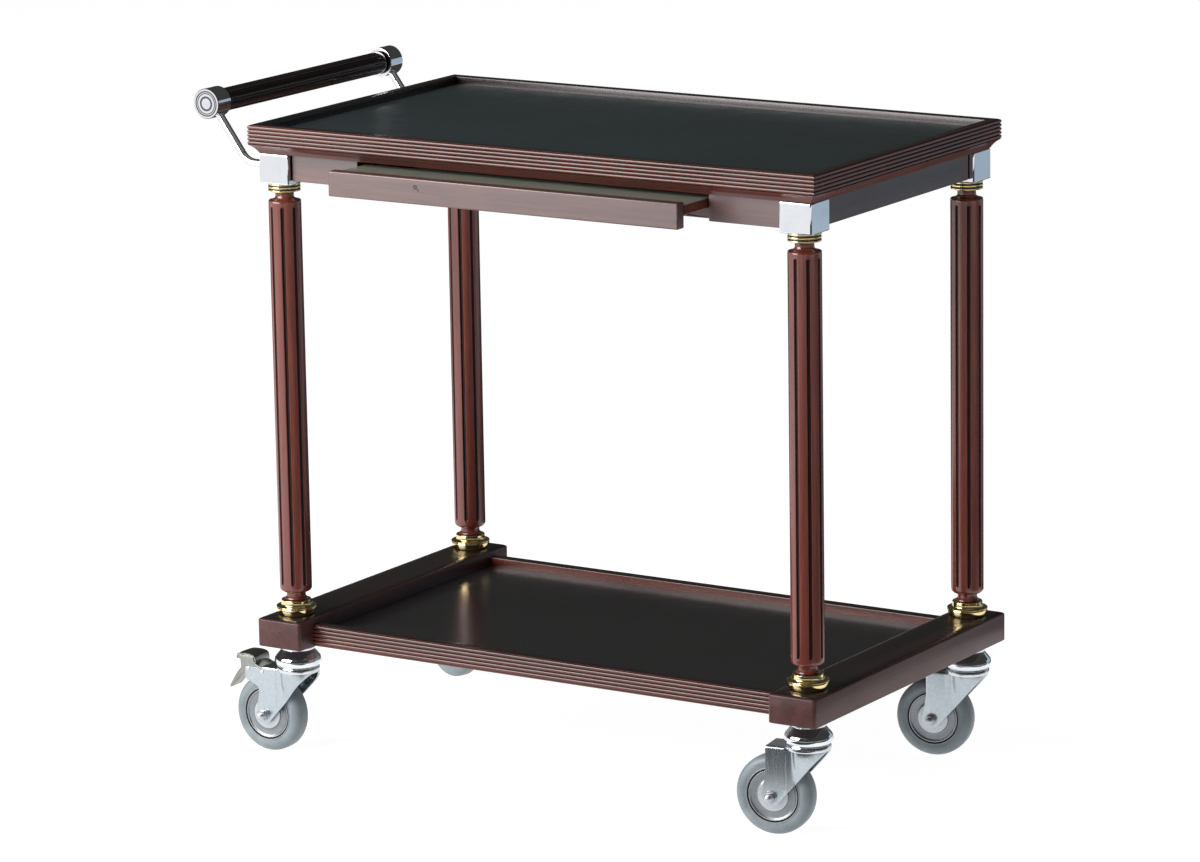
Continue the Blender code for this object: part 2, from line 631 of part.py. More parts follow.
def build_axle(corner, wheel):
    """The axle bolt, with its head on one side of the fork and its nut on the other."""
    face = FORK_HALF_WIDTH + GAP
    shaft = bmesh.new()
    half = face + NUT_HEIGHT + BOLT_STUB / 2
    cross_cylinder(shaft, 0, 0, AXLE_RADIUS, half, 14, middle=BOLT_STUB / 2)
    axle = make_object("caster_axle_" + corner, shaft, "zinc_steel", parent=wheel)
    hexes = []
    for sign in (-1, 1):
        bm = bmesh.new()
        turn = Matrix.Rotation(math.pi / 2, 4, "X")
        bmesh.ops.create_cone(
            bm, cap_ends=True, segments=6, radius1=NUT_RADIUS, radius2=NUT_RADIUS, depth=NUT_HEIGHT,
            matrix=Matrix.Translation((0, sign * (face + NUT_HEIGHT / 2), 0)) @ turn,
        )
        hexes.append(tool_from(bm, wheel))
    combine(axle, hexes, "UNION")


def build_head(corner, location):
    """The swivel head under the beam: a brass seat ring, a domed cup and the kingpin."""
    top, low = BEAM_BOTTOM - GAP, HEAD_BOTTOM
    pin_end = HEAD_BOTTOM - GAP - RACEWAY_THICKNESS - FORK_PLATE
    profile = [
        (0, top), (HEAD_TOP_RADIUS, top), (HEAD_TOP_RADIUS, top - 0.0085),
        (HEAD_RADIUS - 0.002, low + 0.0085),
        (HEAD_RADIUS, low + 0.0055), (HEAD_RADIUS - 0.0015, low), (KINGPIN_RADIUS, low),
        (KINGPIN_RADIUS, pin_end), (0, pin_end),
    ]
    bm = bmesh.new()
    lathe(bm, profile, 20)
    make_object("caster_head_" + corner, bm, "chrome", location=location)


def build_brake(corner, swivel):
    """A foot pedal that rocks on a pin through the fork's ears, with a shoe over the tyre."""
    pu, pz = BRAKE_PIVOT_U, BRAKE_PIVOT_Z
    pedal = empty_at("brake_pivot_" + corner, (pu, 0, pz), parent=swivel)

    def local(points):
        return [(u - pu, z - pz) for u, z in points]

    def slab(points, half_width):
        bm = bmesh.new()
        prism(bm, local(points), lambda u, z: (u, -half_width, z), lambda u, z: (u, half_width, z))
        return bm

    foot = [
        (0.0560, 0.1245), (0.0620, 0.1263), (0.0740, 0.1266), (0.0850, 0.1252), (0.0850, 0.1222),
        (0.0740, 0.1236), (0.0620, 0.1233), (0.0590, 0.1215), (0.0590, 0.1140), (0.0560, 0.1140),
    ]
    web = [
        (0.0405, 0.1062), (0.0434, 0.1028), (0.0540, 0.1020), (0.0640, 0.1000), (0.0725, 0.0965),
        (0.0790, 0.1020), (0.0795, 0.1245), (0.0580, 0.1245), (0.0570, 0.1140), (0.0440, 0.1095),
    ]
    tongue = [
        (0.0740, 0.1090), (0.0790, 0.1105), (0.1010, 0.0790), (0.0988, 0.0768), (0.0740, 0.1000),
    ]
    brake = make_object("brake_pedal_" + corner, slab(foot, 0.0160), "zinc_steel", parent=pedal)
    bm = bmesh.new()
    cross_cylinder(bm, 0, 0, BRAKE_PIN_RADIUS, FORK_HALF_WIDTH + 0.0012, 12)
    parts = [
        tool_from(slab(web, 0.0120), pedal), tool_from(slab(tongue, 0.0130), pedal), tool_from(bm, pedal),
    ]
    combine(brake, parts, "UNION")


def build_casters():
    for corner, (x, y) in CORNERS.items():
        swivel = empty_at("swivel_" + corner, (x, y, 0), math.radians(SWIVEL[corner]))
        wheel = empty_at("axle_line_" + corner, (TRAIL, 0, WHEEL_RADIUS), parent=swivel)
        bpy.context.view_layer.update()
        build_head(corner, (x, y, 0))
        build_fork(corner, swivel)
        build_wheel(corner, wheel)
        build_axle(corner, wheel)
        if corner in BRAKED:
            build_brake(corner, swivel)


def main():
    for obj in list(bpy.data.objects):
        bpy.data.objects.remove(obj)
    build_tray()
    build_aprons()
    build_slide()
    for corner, (x, y) in CORNERS.items():
        build_column(corner, (x, y, 0))
        build_collars(corner, (x, y, 0))
    build_lower_tier()
    build_handle()
    build_casters()


main()
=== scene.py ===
"""Looks for the food service trolley: shaped pieces and procedural materials on the CAD frame.

Metres, in the CAD's own frame: +X along the trolley away from its handle, the slide pulls out
towards -Y, +Z up. A caster's own frame has +X (called u) from its swivel axis to its wheel.
"""
import json
from math import asin, atan2, cos, degrees, hypot, pi, radians, sin, sqrt, tan

import bmesh
import bpy
from mathutils import Matrix, Vector


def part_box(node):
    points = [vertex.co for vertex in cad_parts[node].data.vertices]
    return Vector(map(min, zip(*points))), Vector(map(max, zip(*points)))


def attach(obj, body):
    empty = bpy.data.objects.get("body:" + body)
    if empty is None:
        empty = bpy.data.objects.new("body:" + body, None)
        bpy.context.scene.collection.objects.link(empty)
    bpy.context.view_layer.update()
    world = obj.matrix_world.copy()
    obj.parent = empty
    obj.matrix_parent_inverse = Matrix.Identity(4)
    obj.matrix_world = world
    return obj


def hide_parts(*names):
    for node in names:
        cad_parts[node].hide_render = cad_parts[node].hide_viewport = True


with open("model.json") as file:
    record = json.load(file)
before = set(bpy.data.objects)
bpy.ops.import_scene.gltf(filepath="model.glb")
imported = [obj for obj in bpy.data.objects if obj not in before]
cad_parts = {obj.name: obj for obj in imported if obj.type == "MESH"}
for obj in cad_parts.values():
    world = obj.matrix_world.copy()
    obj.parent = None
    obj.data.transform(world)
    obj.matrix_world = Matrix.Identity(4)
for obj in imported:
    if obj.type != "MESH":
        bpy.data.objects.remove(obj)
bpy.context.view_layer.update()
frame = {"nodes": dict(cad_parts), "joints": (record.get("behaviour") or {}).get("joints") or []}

CORNERS = ("front_left", "front_right", "back_left", "back_right")
BRAKED = ("front_left", "back_left")
JOINTS = {joint["name"]: joint for joint in frame["joints"]}
FULL_TURN = 2 * pi
QUARTER_TURN = pi / 2
SMOOTH_ANGLE = 32       # edges sharper than this, in degrees, keep a crease


# ---- node trees
class Nodes:
    """A node tree and what is added to it."""

    def __init__(self, owner):
        owner.use_nodes = True
        self.tree = owner.node_tree

    def node(self, kind, inputs=None, **settings):
        """Adds a node; an input takes a constant or another node's output."""
        made = self.tree.nodes.new(kind)
        for key, value in settings.items():
            setattr(made, key, value)
        for key, value in (inputs or {}).items():
            self.feed(made.inputs[key], value)
        return made

    def feed(self, socket, value):
        if isinstance(value, bpy.types.NodeSocket):
            self.tree.links.new(value, socket)
        else:
            socket.default_value = value

    def mix(self, factor, first, second, blend="MIX"):
        made = self.node("ShaderNodeMix", data_type="RGBA", blend_type=blend)
        self.feed(made.inputs[0], factor)
        for socket, value in ((made.inputs[6], first), (made.inputs[7], second)):
            self.feed(socket, (*value, 1.0) if isinstance(value, tuple) else value)
        return made.outputs[2]


class Finish(Nodes):
    """One material and its node tree."""

    def __init__(self, name):
        self.material = bpy.data.materials.new(name)
        super().__init__(self.material)
        self.shader = self.tree.nodes["Principled BSDF"]
        self.place = self.node("ShaderNodeTexCoord").outputs["Object"]

    def surface(self, **inputs):
        for key, value in inputs.items():
            self.feed(self.shader.inputs[key.replace("_", " ")], value)

    def noise(self, scale, detail=4.0, roughness=0.5, distortion=0.0, stretch=(1, 1, 1)):
        spread = self.node("ShaderNodeMapping", {"Vector": self.place, "Scale": stretch}).outputs["Vector"]
        inputs = {
            "Vector": spread, "Scale": scale, "Detail": detail, "Roughness": roughness,
            "Distortion": distortion,
        }
        return self.node("ShaderNodeTexNoise", inputs).outputs["Fac"]

    def span(self, value, low, high, start=0.3, stop=0.7):
        """Maps a texture's range to low..high."""
        inputs = {"Value": value, "From Min": start, "From Max": stop, "To Min": low, "To Max": high}
        return self.node("ShaderNodeMapRange", inputs).outputs["Result"]

    def ramp(self, value, stops):
        """A colour ramp from (position, colour) stops."""
        made = self.node("ShaderNodeValToRGB", {"Fac": value})
        made.color_ramp.elements[1].position = stops[-1][0]
        for position, _ in stops[1:-1]:
            made.color_ramp.elements.new(position)
        for element, (position, color) in zip(made.color_ramp.elements, stops):
            element.position = position
            element.color = (*color, 1.0)
        return made.outputs["Color"]

    def bump(self, *layers):
        """Stacks bump layers, each (height, strength, distance)."""
        normal = None
        for height, strength, distance in layers:
            inputs = {"Height": height, "Strength": strength, "Distance": distance}
            if normal is not None:
                inputs["Normal"] = normal
            normal = self.node("ShaderNodeBump", inputs).outputs["Normal"]
        self.feed(self.shader.inputs["Normal"], normal)


def grey(value):
    return (value, value, value)


def drawn_out(axis, share):
    """A texture scale that stretches a pattern along one axis."""
    return tuple(share if letter == axis else 1 for letter in "XYZ")


MAHOGANY = ((0.034, 0.0072, 0.0052), (0.086, 0.0205, 0.0135), (0.14, 0.04, 0.025))


def wood(name, along, stain=MAHOGANY, gloss=0.3, sheen=0.42):
    """Wood under lacquer, its grain along one axis; its stain is a dark, a middle and a light tone."""
    f = Finish(name)
    dark, mid, light = stain
    lengthwise, pores = drawn_out(along, 0.045), drawn_out(along, 0.02)
    figure = f.noise(38, 5, 0.55, 0.6, lengthwise)
    grain = f.noise(420, 4, 0.6, 0.2, lengthwise)
    fine = f.noise(1700, 2, 0.5, 0.0, pores)
    tones = f.ramp(figure, ((0.25, dark), (0.5, mid), (0.78, light)))
    streaks = f.ramp(grain, ((0.3, (0.55, 0.5, 0.5)), (0.62, (1.16, 1.1, 1.08))))
    color = f.mix(0.6, tones, streaks, "MULTIPLY")
    specks = f.ramp(fine, ((0.3, (0.35, 0.3, 0.3)), (0.42, grey(1.0))))
    color = f.mix(0.4, color, specks, "MULTIPLY")
    smears = f.noise(9, 4, 0.6)
    f.surface(
        Base_Color=color, Roughness=f.span(smears, gloss - 0.03, gloss + 0.06), Specular_IOR_Level=sheen,
        Coat_Weight=0.15, Coat_Roughness=0.12, IOR=1.48,
    )
    f.bump((grain, 0.05, 0.0006), (fine, 0.04, 0.0003), (f.noise(60, 2), 0.03, 0.001))
    return f.material


def laminate(name, base, speck, roughness, bump):
    """Panel laminate with a fine speckle."""
    f = Finish(name)
    grain = f.noise(1300, 3, 0.7)
    cloud = f.noise(7, 3, 0.5)
    color = f.ramp(grain, ((0.36, tuple(c * 0.72 for c in base)), (0.52, base), (0.68, speck)))
    shade = f.ramp(cloud, ((0.3, grey(0.82)), (0.7, grey(1.15))))
    color = f.mix(0.5, color, shade, "MULTIPLY")
    rough = f.span(f.noise(26, 5, 0.6), roughness * 0.88, roughness * 1.15)
    f.surface(Base_Color=color, Roughness=rough, IOR=1.45)
    f.bump((f.noise(900, 2), bump, 0.0004))
    return f.material


def polished(name, base, tarnish, low, high, scale=55, streaks=0.02):
    """Polished metal with faint smudges and a trace of tarnish."""
    f = Finish(name)
    smudge = f.noise(scale, 5, 0.62, 0.4)
    color = f.mix(f.span(smudge, 0.0, 0.75, 0.5, 0.78), base, tarnish)
    rough = f.span(f.noise(scale * 2.3, 4, 0.6), low, high)
    f.surface(Base_Color=color, Metallic=1.0, Roughness=rough)
    f.bump((f.noise(scale * 9, 3, 0.6), streaks, 0.0004))
    return f.material


def zinc(name, base, low, high, along="Z"):
    """Bright zinc plate over pressed steel: a faint crystal pattern and rolling marks."""
    f = Finish(name)
    cells = f.node("ShaderNodeTexVoronoi", {"Vector": f.place, "Scale": 260.0}, feature="SMOOTH_F1")
    crystals = cells.outputs["Distance"]
    marks = f.noise(700, 3, 0.6, 0.0, drawn_out(along, 0.05))
    color = f.mix(f.span(crystals, 0.0, 0.3, 0.1, 0.6), base, tuple(c * 0.78 for c in base))
    color = f.mix(f.span(f.noise(45, 4), 0.0, 0.22, 0.5, 0.75), color, (0.46, 0.48, 0.46))
    f.surface(Base_Color=color, Metallic=1.0, Roughness=f.span(marks, low, high))
    f.bump((marks, 0.015, 0.0003), (crystals, 0.02, 0.0003))
    return f.material


def rubber(name):
    """Grey non-marking rubber with a dusty bloom and moulding texture."""
    f = Finish(name)
    bloom = f.noise(32, 5, 0.62, 0.3)
    grit = f.noise(1500, 2, 0.6)
    worn, usual, dusty = (0.14, 0.172, 0.19), (0.182, 0.216, 0.235), (0.228, 0.26, 0.276)
    color = f.ramp(bloom, ((0.3, worn), (0.5, usual), (0.72, dusty)))
    shade = f.ramp(grit, ((0.35, grey(0.8)), (0.65, grey(1.12))))
    color = f.mix(0.5, color, shade, "MULTIPLY")
    f.surface(Base_Color=color, Roughness=f.span(bloom, 0.36, 0.52), IOR=1.5)
    f.bump((grit, 0.1, 0.0004), (f.noise(140, 3), 0.06, 0.0008))
    return f.material


def plain_dark(name):
    """Dull dark lacquer for joints and plugs, and painted shade in grooves, rings and gaps."""
    f = Finish(name)
    color = f.ramp(f.noise(300, 3), ((0.3, (0.006, 0.004, 0.004)), (0.7, (0.016, 0.01, 0.009))))
    f.surface(Base_Color=color, Roughness=0.5)
    return f.material


WOOD = {axis: wood("mahogany_along_" + axis.lower(), axis, gloss=0.28, sheen=0.5) for axis in "XY"}
SATIN_WOOD = wood(
    "satin_mahogany", "X", ((0.026, 0.009, 0.0085), (0.064, 0.0235, 0.0215), (0.102, 0.041, 0.036)),
    gloss=0.4, sheen=1.0,
)
# Painted shade: a darker, bluer copy of the satin wood for both side aprons.
SHADED_SIDE_WOOD = wood(
    "painted_shade_side_mahogany", "Y", ((0.018, 0.008, 0.0085), (0.038, 0.018, 0.0185), (0.06, 0.03, 0.029)),
    gloss=0.4, sheen=0.75,
)
BEAM_WOOD = wood(
    "beam_mahogany", "Y", ((0.032, 0.011, 0.0105), (0.06, 0.02, 0.0185), (0.092, 0.034, 0.03)),
    gloss=0.42, sheen=0.4,
)
COLUMN_WOOD = wood(
    "column_mahogany", "Z", ((0.052, 0.009, 0.0065), (0.13, 0.0255, 0.017), (0.205, 0.05, 0.031)),
    gloss=0.23, sheen=0.85,
)
# Painted shade: a near-black wood for the hollows of the column flutes.
FLUTE_SHADE_WOOD = wood(
    "painted_shade_flute_mahogany", "Z", ((0.006, 0.002, 0.002), (0.013, 0.004, 0.003), (0.024, 0.007, 0.005)),
    gloss=0.22,
)
# Painted shade: a near-black copy of the mahogany for faces that little light reaches: tops, inner faces
# and reed valleys.
TOP_PAINTED_SHADE = ((0.009, 0.0055, 0.0055), (0.018, 0.011, 0.011), (0.034, 0.02, 0.019))
SHADED_TOP_WOOD = {axis: wood("painted_shade_mahogany_along_" + axis.lower(), axis, TOP_PAINTED_SHADE, 0.24, 0.5) for axis in "XY"}
GRIP_WOOD = wood(
    "grip_mahogany", "Y", ((0.006, 0.0025, 0.0022), (0.014, 0.0052, 0.0046), (0.028, 0.009, 0.0075)),
    gloss=0.22,
)
# Painted shade: a near-black wood for the beams' undersides.
SHADED_UNDERSIDE = wood(
    "painted_shade_underside", "Y", ((0.006, 0.003, 0.003), (0.012, 0.006, 0.005), (0.02, 0.01, 0.008)),
    gloss=0.5, sheen=0.2,
)
TOP_LAMINATE = laminate("slate_laminate", (0.026, 0.036, 0.041), (0.05, 0.066, 0.072), 0.42, 0.06)
SHELF_LAMINATE = laminate(
    "dark_gloss_laminate", (0.02, 0.0175, 0.0185), (0.038, 0.034, 0.036), roughness=0.19, bump=0.012,
)
BOARD_LAMINATE = laminate("board_laminate", (0.215, 0.225, 0.18), (0.27, 0.28, 0.235), 0.36, 0.04)
CHROME = polished("chrome_plate", (0.8, 0.82, 0.86), (0.72, 0.75, 0.8), 0.035, 0.075, 40, 0.004)
BRASS = polished("polished_brass", (0.9, 0.72, 0.36), (0.62, 0.44, 0.16), 0.06, 0.16, 70)
SEAT_BRASS = polished("seat_brass", (0.74, 0.54, 0.19), (0.5, 0.34, 0.1), 0.12, 0.24, 70)
ZINC = zinc("zinc_plate", (0.51, 0.565, 0.61), 0.22, 0.28)
BRIGHT_ZINC = polished("bright_zinc_plate", (0.68, 0.7, 0.74), (0.58, 0.58, 0.56), 0.1, 0.2, 60)
RUBBER = rubber("grey_rubber")
HUB_DISH = zinc("grey_zinc_casting", (0.27, 0.29, 0.31), 0.36, 0.5, "Y")
DULL_ZINC = zinc("dull_zinc_plate", (0.31, 0.325, 0.3), 0.28, 0.4)
CAST_ZINC = zinc("satin_zinc_casting", (0.56, 0.58, 0.62), 0.36, 0.5, "Y")
# Real joints and plugs, and also painted shade where it marks grooves, rings and gaps on collars, caps and
# tyres.
DARK_JOINT_AND_SHADE = plain_dark("dark_joint_and_painted_shade")


# ---- mesh helpers
def add_object(name, data):
    """Links a new object to the scene; a bmesh becomes its mesh and is freed."""
    if isinstance(data, bmesh.types.BMesh):
        bm, data = data, bpy.data.meshes.new(name)
        bm.to_mesh(data)
        bm.free()
    made = bpy.data.objects.new(name, data)
    bpy.context.scene.collection.objects.link(made)
    return made


def crease(mesh):
    """Shades a mesh smoothly between its sharp edges."""
    mesh.shade_smooth()
    mesh.set_sharp_from_angle(angle=radians(SMOOTH_ANGLE))


def piece(name, bm, materials, body, node=None, location=(0, 0, 0), turn=0.0):
    """Turns a bmesh into a piece that rides on a body and stands for a CAD node."""
    bmesh.ops.remove_doubles(bm, verts=bm.verts, dist=1e-6)
    bmesh.ops.dissolve_degenerate(bm, edges=bm.edges, dist=1e-7)
    bmesh.ops.recalc_face_normals(bm, faces=bm.faces)
    made = add_object(name, bm)
    crease(made.data)
    for material in materials:
        made.data.materials.append(material)
    made.location = location
    made.rotation_euler = (0, 0, turn)
    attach(made, body)
    if node:
        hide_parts(node)
    return made


def flat_sides(made):
    """Keeps a piece's square-on faces flat beside their rounded edges."""
    for face in made.data.polygons:
        if max(abs(part) for part in face.normal) > 0.99999:
            face.use_smooth = False


def mark_new(bm, before, index):
    """Gives the faces that are not in `before` a material index."""
    for face in bm.faces:
        if face not in before:
            face.material_index = index


def mark(bm, index, wanted):
    """Gives the faces whose centres pass a test a material index."""
    for face in bm.faces:
        if wanted(face.calc_center_median()):
            face.material_index = index


def within(center, *bands):
    """A test for points within bands of distance from a line along Y through (x, z)."""
    def test(spot):
        away = hypot(spot.x - center[0], spot.z - center[1])
        return any(low < away < high for low, high in bands)
    return test


def circle(count):
    """Evenly spaced angles round a full turn."""
    return [FULL_TURN * i / count for i in range(count)]


def round_over(width, height, steps):
    """A quarter ellipse that eases an edge, as (inward, along) points from (width, 0) to (0, height)."""
    angles = [QUARTER_TURN * k / steps for k in range(steps + 1)]
    return [(width * (1 - sin(a)), height * (1 - cos(a))) for a in angles]


def middle_of(low, high):
    return (low + high) / 2


def rounded_rectangle(half_x, half_y, radius, steps=5):
    """A rectangle about the origin with rounded corners."""
    points = []
    for sx, sy, start in ((1, 1, 0), (-1, 1, 90), (-1, -1, 180), (1, -1, 270)):
        points += arc((sx * (half_x - radius), sy * (half_y - radius)), radius, start, start + 90, steps)
    return points


def add_box(bm, low, high, radius=0.0, segments=2):
    """A box with rounded edges."""
    size, middle = Vector(high) - Vector(low), middle_of(Vector(low), Vector(high))
    at = Matrix.Translation(middle) @ Matrix.Diagonal((*size, 1.0))
    corners = bmesh.ops.create_cube(bm, size=1.0, matrix=at)["verts"]
    if radius:
        edges = [edge for edge in bm.edges if edge.verts[0] in corners]
        bmesh.ops.bevel(bm, geom=edges, offset=radius, segments=segments, profile=0.5, affect="EDGES")


def rounded(points, radius, steps=4, closed=True):
    """Rounds an outline's corners; a point's third number is its own radius."""
    result = []
    count = len(points)
    for i, point in enumerate(points):
        here = Vector(point[:2])
        r = point[2] if len(point) > 2 else radius
        if r == 0 or (not closed and i in (0, count - 1)):
            result.append(tuple(here))
            continue
        before, after = Vector(points[i - 1][:2]), Vector(points[(i + 1) % count][:2])
        back, ahead = (before - here), (after - here)
        reach = min(r, back.length * 0.48, ahead.length * 0.48)
        a, b = here + back.normalized() * reach, here + ahead.normalized() * reach
        for k in range(steps + 1):
            t = k / steps
            result.append(tuple(a * (1 - t) ** 2 + here * 2 * t * (1 - t) + b * t * t))
    return result


def skin(bm, rows, closed_rows=False, closed_across=False, caps=False):
    """Joins rows of points with faces."""
    rings = [[bm.verts.new(point) for point in row] for row in rows]
    pairs = list(zip(rings, rings[1:])) + ([(rings[-1], rings[0])] if closed_across else [])
    for lower, upper in pairs:
        for i in range(len(lower) if closed_rows else len(lower) - 1):
            j = (i + 1) % len(lower)
            bm.faces.new((lower[i], lower[j], upper[j], upper[i]))
    if caps:
        bm.faces.new(rings[0])
        bm.faces.new(rings[-1])


def add_lathe(bm, profile, segments, axis="Z", center=(0, 0, 0), closed=True):
    """Turns a (radius, height) profile about an axis."""
    cx, cy, cz = center
    rows = []
    for radius, height in profile:
        flat = [(radius * cos(a), radius * sin(a)) for a in circle(segments)]
        if axis == "Z":
            rows.append([(cx + a, cy + b, cz + height) for a, b in flat])
        else:
            rows.append([(cx + a, cy + height, cz + b) for a, b in flat])
    skin(bm, rows, closed_rows=True, closed_across=closed)


def add_prism(bm, outline, start, end):
    """Extrudes a closed outline between two mappings of its points to 3-D."""
    skin(bm, [[place(a, b) for a, b in outline] for place in (start, end)], closed_rows=True, caps=True)


def both_sides(profile):
    """A (radius, height) profile and its mirror image below zero."""
    return profile + [(radius, -height) for radius, height in reversed(profile)]


def arc(center, radius, start, stop, steps):
    """Points along an arc, angles in degrees."""
    angles = [radians(start + (stop - start) * i / steps) for i in range(steps + 1)]
    return [(center[0] + radius * cos(a), center[1] + radius * sin(a)) for a in angles]


def soften(made, width, segments=2, angle=40):
    """Rounds a piece's sharp edges and applies the result."""
    modifier = made.modifiers.new("soften", "BEVEL")
    modifier.width, modifier.segments = width, segments
    modifier.limit_method, modifier.angle_limit = "ANGLE", radians(angle)
    apply_modifiers(made)


def thicken(made, thickness, offset):
    """Gives a sheet its thickness."""
    shell = made.modifiers.new("sheet", "SOLIDIFY")
    shell.thickness, shell.offset = thickness, offset
    apply_modifiers(made)


def apply_modifiers(made):
    bpy.context.view_layer.update()
    graph = bpy.context.evaluated_depsgraph_get()
    mesh = bpy.data.meshes.new_from_object(made.evaluated_get(graph))
    made.modifiers.clear()
    made.data = mesh
    crease(mesh)


# ---- tray
REEDS, REED_DEPTH = 5, 0.0022
VALLEY = 0.001          # depth from which a reed's valley is painted darker as shade
COVE_HEIGHT = 0.0113
REEDS_START = 0.0115    # height above a rim's foot from which its valleys are painted darker as shade
FLAT_TOP = 0.0002       # how far below a rim's top its flat upper face may lie


def reeds(bottom, height, steps=8):
    """Rounded beads up a vertical face, as (depth, height) points."""
    pitch = height / REEDS
    points = []
    for i in range(REEDS):
        for k in range(steps + (i == REEDS - 1)):
            a = pi * k / steps
            points.append((REED_DEPTH * (1 - sin(a)), bottom + pitch * (i + 0.5 - 0.5 * cos(a))))
    return points


def tray_rim_section(low, high, width):
    """Section of a top rim, as (depth from its face, height) points."""
    cove_depth, lip, top_width, groove, panel = 0.0105, 0.009, 0.0145, 0.0075, 0.012
    cove = []
    for k in range(7):
        t = k / 6
        bow = 0.0011 * sin(pi * t)
        cove.append((cove_depth * (1 - t) + bow, low + COVE_HEIGHT * t + bow * 0.4))
    groove_top, groove_bottom = high - lip, high - lip - panel - 0.0006
    return [
        *cove, *reeds(low + COVE_HEIGHT, high - 0.0006 - low - COVE_HEIGHT), (0.0028, high),
        *arc((top_width - 0.0012, high - 0.0012), 0.0012, 90, 0, 3),
        (top_width, groove_top), (top_width + groove, groove_top), (top_width + groove, groove_bottom),
        (width, groove_bottom), (width, low),
    ]


def build_tray():
    for side, sign in (("front", -1), ("back", 1), ("left", -1), ("right", 1)):
        node = "tray_rim_" + side
        low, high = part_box(node)
        along_x = side in ("front", "back")
        axis, across = (0, 1) if along_x else (1, 0)
        face = high[across] if sign > 0 else low[across]
        width = high[across] - low[across]
        middle, half = middle_of(low[axis], high[axis]), (high[axis] - low[axis]) / 2

        def place(end):
            def point(depth, height):
                run, out = middle + end * (half - depth), face - sign * depth
                return (run, out, height) if along_x else (out, run, height)
            return point

        bm = bmesh.new()
        add_prism(bm, tray_rim_section(low.z, high.z, width), place(-1), place(1))

        # Painted shade: the rim's top face, its inner face and its reed valleys take the darker top wood.
        def shaded(spot):
            depth = abs(spot[across] - face)
            inner = depth > 0.0135 and spot.z > middle_of(low.z, high.z)
            valley = VALLEY < depth < REED_DEPTH and spot.z > low.z + REEDS_START
            return spot.z > high.z - FLAT_TOP or inner or valley

        mark(bm, 1, shaded)
        grain = "X" if along_x else "Y"
        piece("rim_" + side, bm, [WOOD[grain], SHADED_TOP_WOOD[grain]], "frame", node)
    frame["nodes"]["tray_panel"].data.materials[0] = TOP_LAMINATE


JOINT = 0.0012          # open joint between an apron and the blocks


def build_aprons():
    for side in ("left", "right", "back"):
        node = "apron_" + side
        low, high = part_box(node)
        shorter = Vector((JOINT, 0, 0)) if side == "back" else Vector((0, JOINT, 0))
        bm = bmesh.new()
        add_box(bm, low + shorter, high - shorter, radius=0.0008)
        # The side aprons take the darker copy of the satin wood: painted shade.
        finish = SATIN_WOOD if side == "back" else SHADED_SIDE_WOOD
        flat_sides(piece("side_" + node, bm, [finish], "frame", node))

    # The front apron: two full ends and, between them, a lower rail set back behind the fascia.
    low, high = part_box("apron_front")
    fascia_low, fascia_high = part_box("slide_fascia")
    clearance = 0.0025
    left, right = fascia_low.x - clearance, fascia_high.x + clearance
    rail_y = low.y + (fascia_high.y - fascia_low.y) + 0.001
    rail_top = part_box("slide_board")[0].z - 0.0006
    start, stop = low.x + JOINT, high.x - JOINT
    outline = [
        (start, low.z), (stop, low.z), (stop, high.z), (right, high.z), (right, rail_top),
        (left, rail_top), (left, high.z), (start, high.z),
    ]
    bm = bmesh.new()
    add_prism(bm, outline, lambda a, b: (a, low.y, b), lambda a, b: (a, high.y, b))
    apron = piece("front_apron", bm, [SATIN_WOOD], "frame", "apron_front")
    bm = bmesh.new()
    add_box(bm, (left, low.y - 0.01, low.z - 0.01), (right, rail_y, high.z + 0.01))
    cutter = add_object("rebate", bm)
    modifier = apron.modifiers.new("rebate", "BOOLEAN")
    modifier.object, modifier.operation = cutter, "DIFFERENCE"
    apply_modifiers(apron)
    bpy.data.objects.remove(cutter)
    soften(apron, 0.0008)
    flat_sides(apron)


def build_blocks():
    for corner in CORNERS:
        bm = bmesh.new()
        node = "corner_block_" + corner
        add_box(bm, *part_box(node), radius=0.0017, segments=4)
        flat_sides(piece("chrome_block_" + corner, bm, [CHROME], "frame", node))


# ---- slide
def build_slide():
    low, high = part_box("slide_fascia")
    bm = bmesh.new()
    add_box(bm, low, high, radius=0.0015, segments=3)
    before = set(bm.faces)
    for radius, right, down in ((0.0028, 0.129, 0.01), (0.0014, 0.133, 0.0135)):
        ring = [(radius * 0.42, -0.0003), (radius, -0.0003), (radius, 0.0003), (radius * 0.42, 0.0003)]
        add_lathe(bm, ring, 24, "Y", (low.x + right, low.y, high.z - down))
    mark_new(bm, before, 1)
    flat_sides(piece("fascia", bm, [SATIN_WOOD, DARK_JOINT_AND_SHADE], "slide", "slide_fascia"))

    low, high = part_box("slide_board")
    skin_depth, inset = 0.0009, 0.0004
    bm = bmesh.new()
    add_box(bm, (low.x, low.y, low.z + skin_depth), (high.x, high.y, high.z - skin_depth))
    before = set(bm.faces)
    for bottom, top in ((high.z - skin_depth, high.z), (low.z, low.z + skin_depth)):
        start, stop = (low.x + inset, low.y + inset, bottom), (high.x - inset, high.y - inset, top)
        add_box(bm, start, stop, 0.0003, 1)
    mark_new(bm, before, 1)
    piece("board", bm, [WOOD["X"], BOARD_LAMINATE], "slide", "slide_board")
    frame["nodes"]["slide_guide"].data.materials[0] = WOOD["Y"]


# ---- columns, grip and their flutes
FLUTES = 8
PHASE = {"front_left": -19.5, "front_right": -3.5, "back_left": 19.5, "back_right": -9.3}


def flute_shape(half_width, depth, rim):
    """Radius of a flute's hollow, height of its centre, and where the hollow meets the rounded rim."""
    hollow = (half_width ** 2 / depth + depth) / 2 - rim
    center = hollow - depth
    return hollow, center, half_width * hollow / (hollow + rim)


def flute_depth(s, run, half_width, depth, rim):
    """Depth of a round-rimmed, round-ended flute at `s` across it and `run` beyond its end's centre."""
    hollow, center, meet = flute_shape(half_width, depth, rim)
    away = hypot(s, max(run, 0))
    if away >= half_width:
        return 0.0
    if away > meet:
        return rim - sqrt(rim ** 2 - (half_width - away) ** 2)
    return sqrt(hollow ** 2 - away ** 2) - center


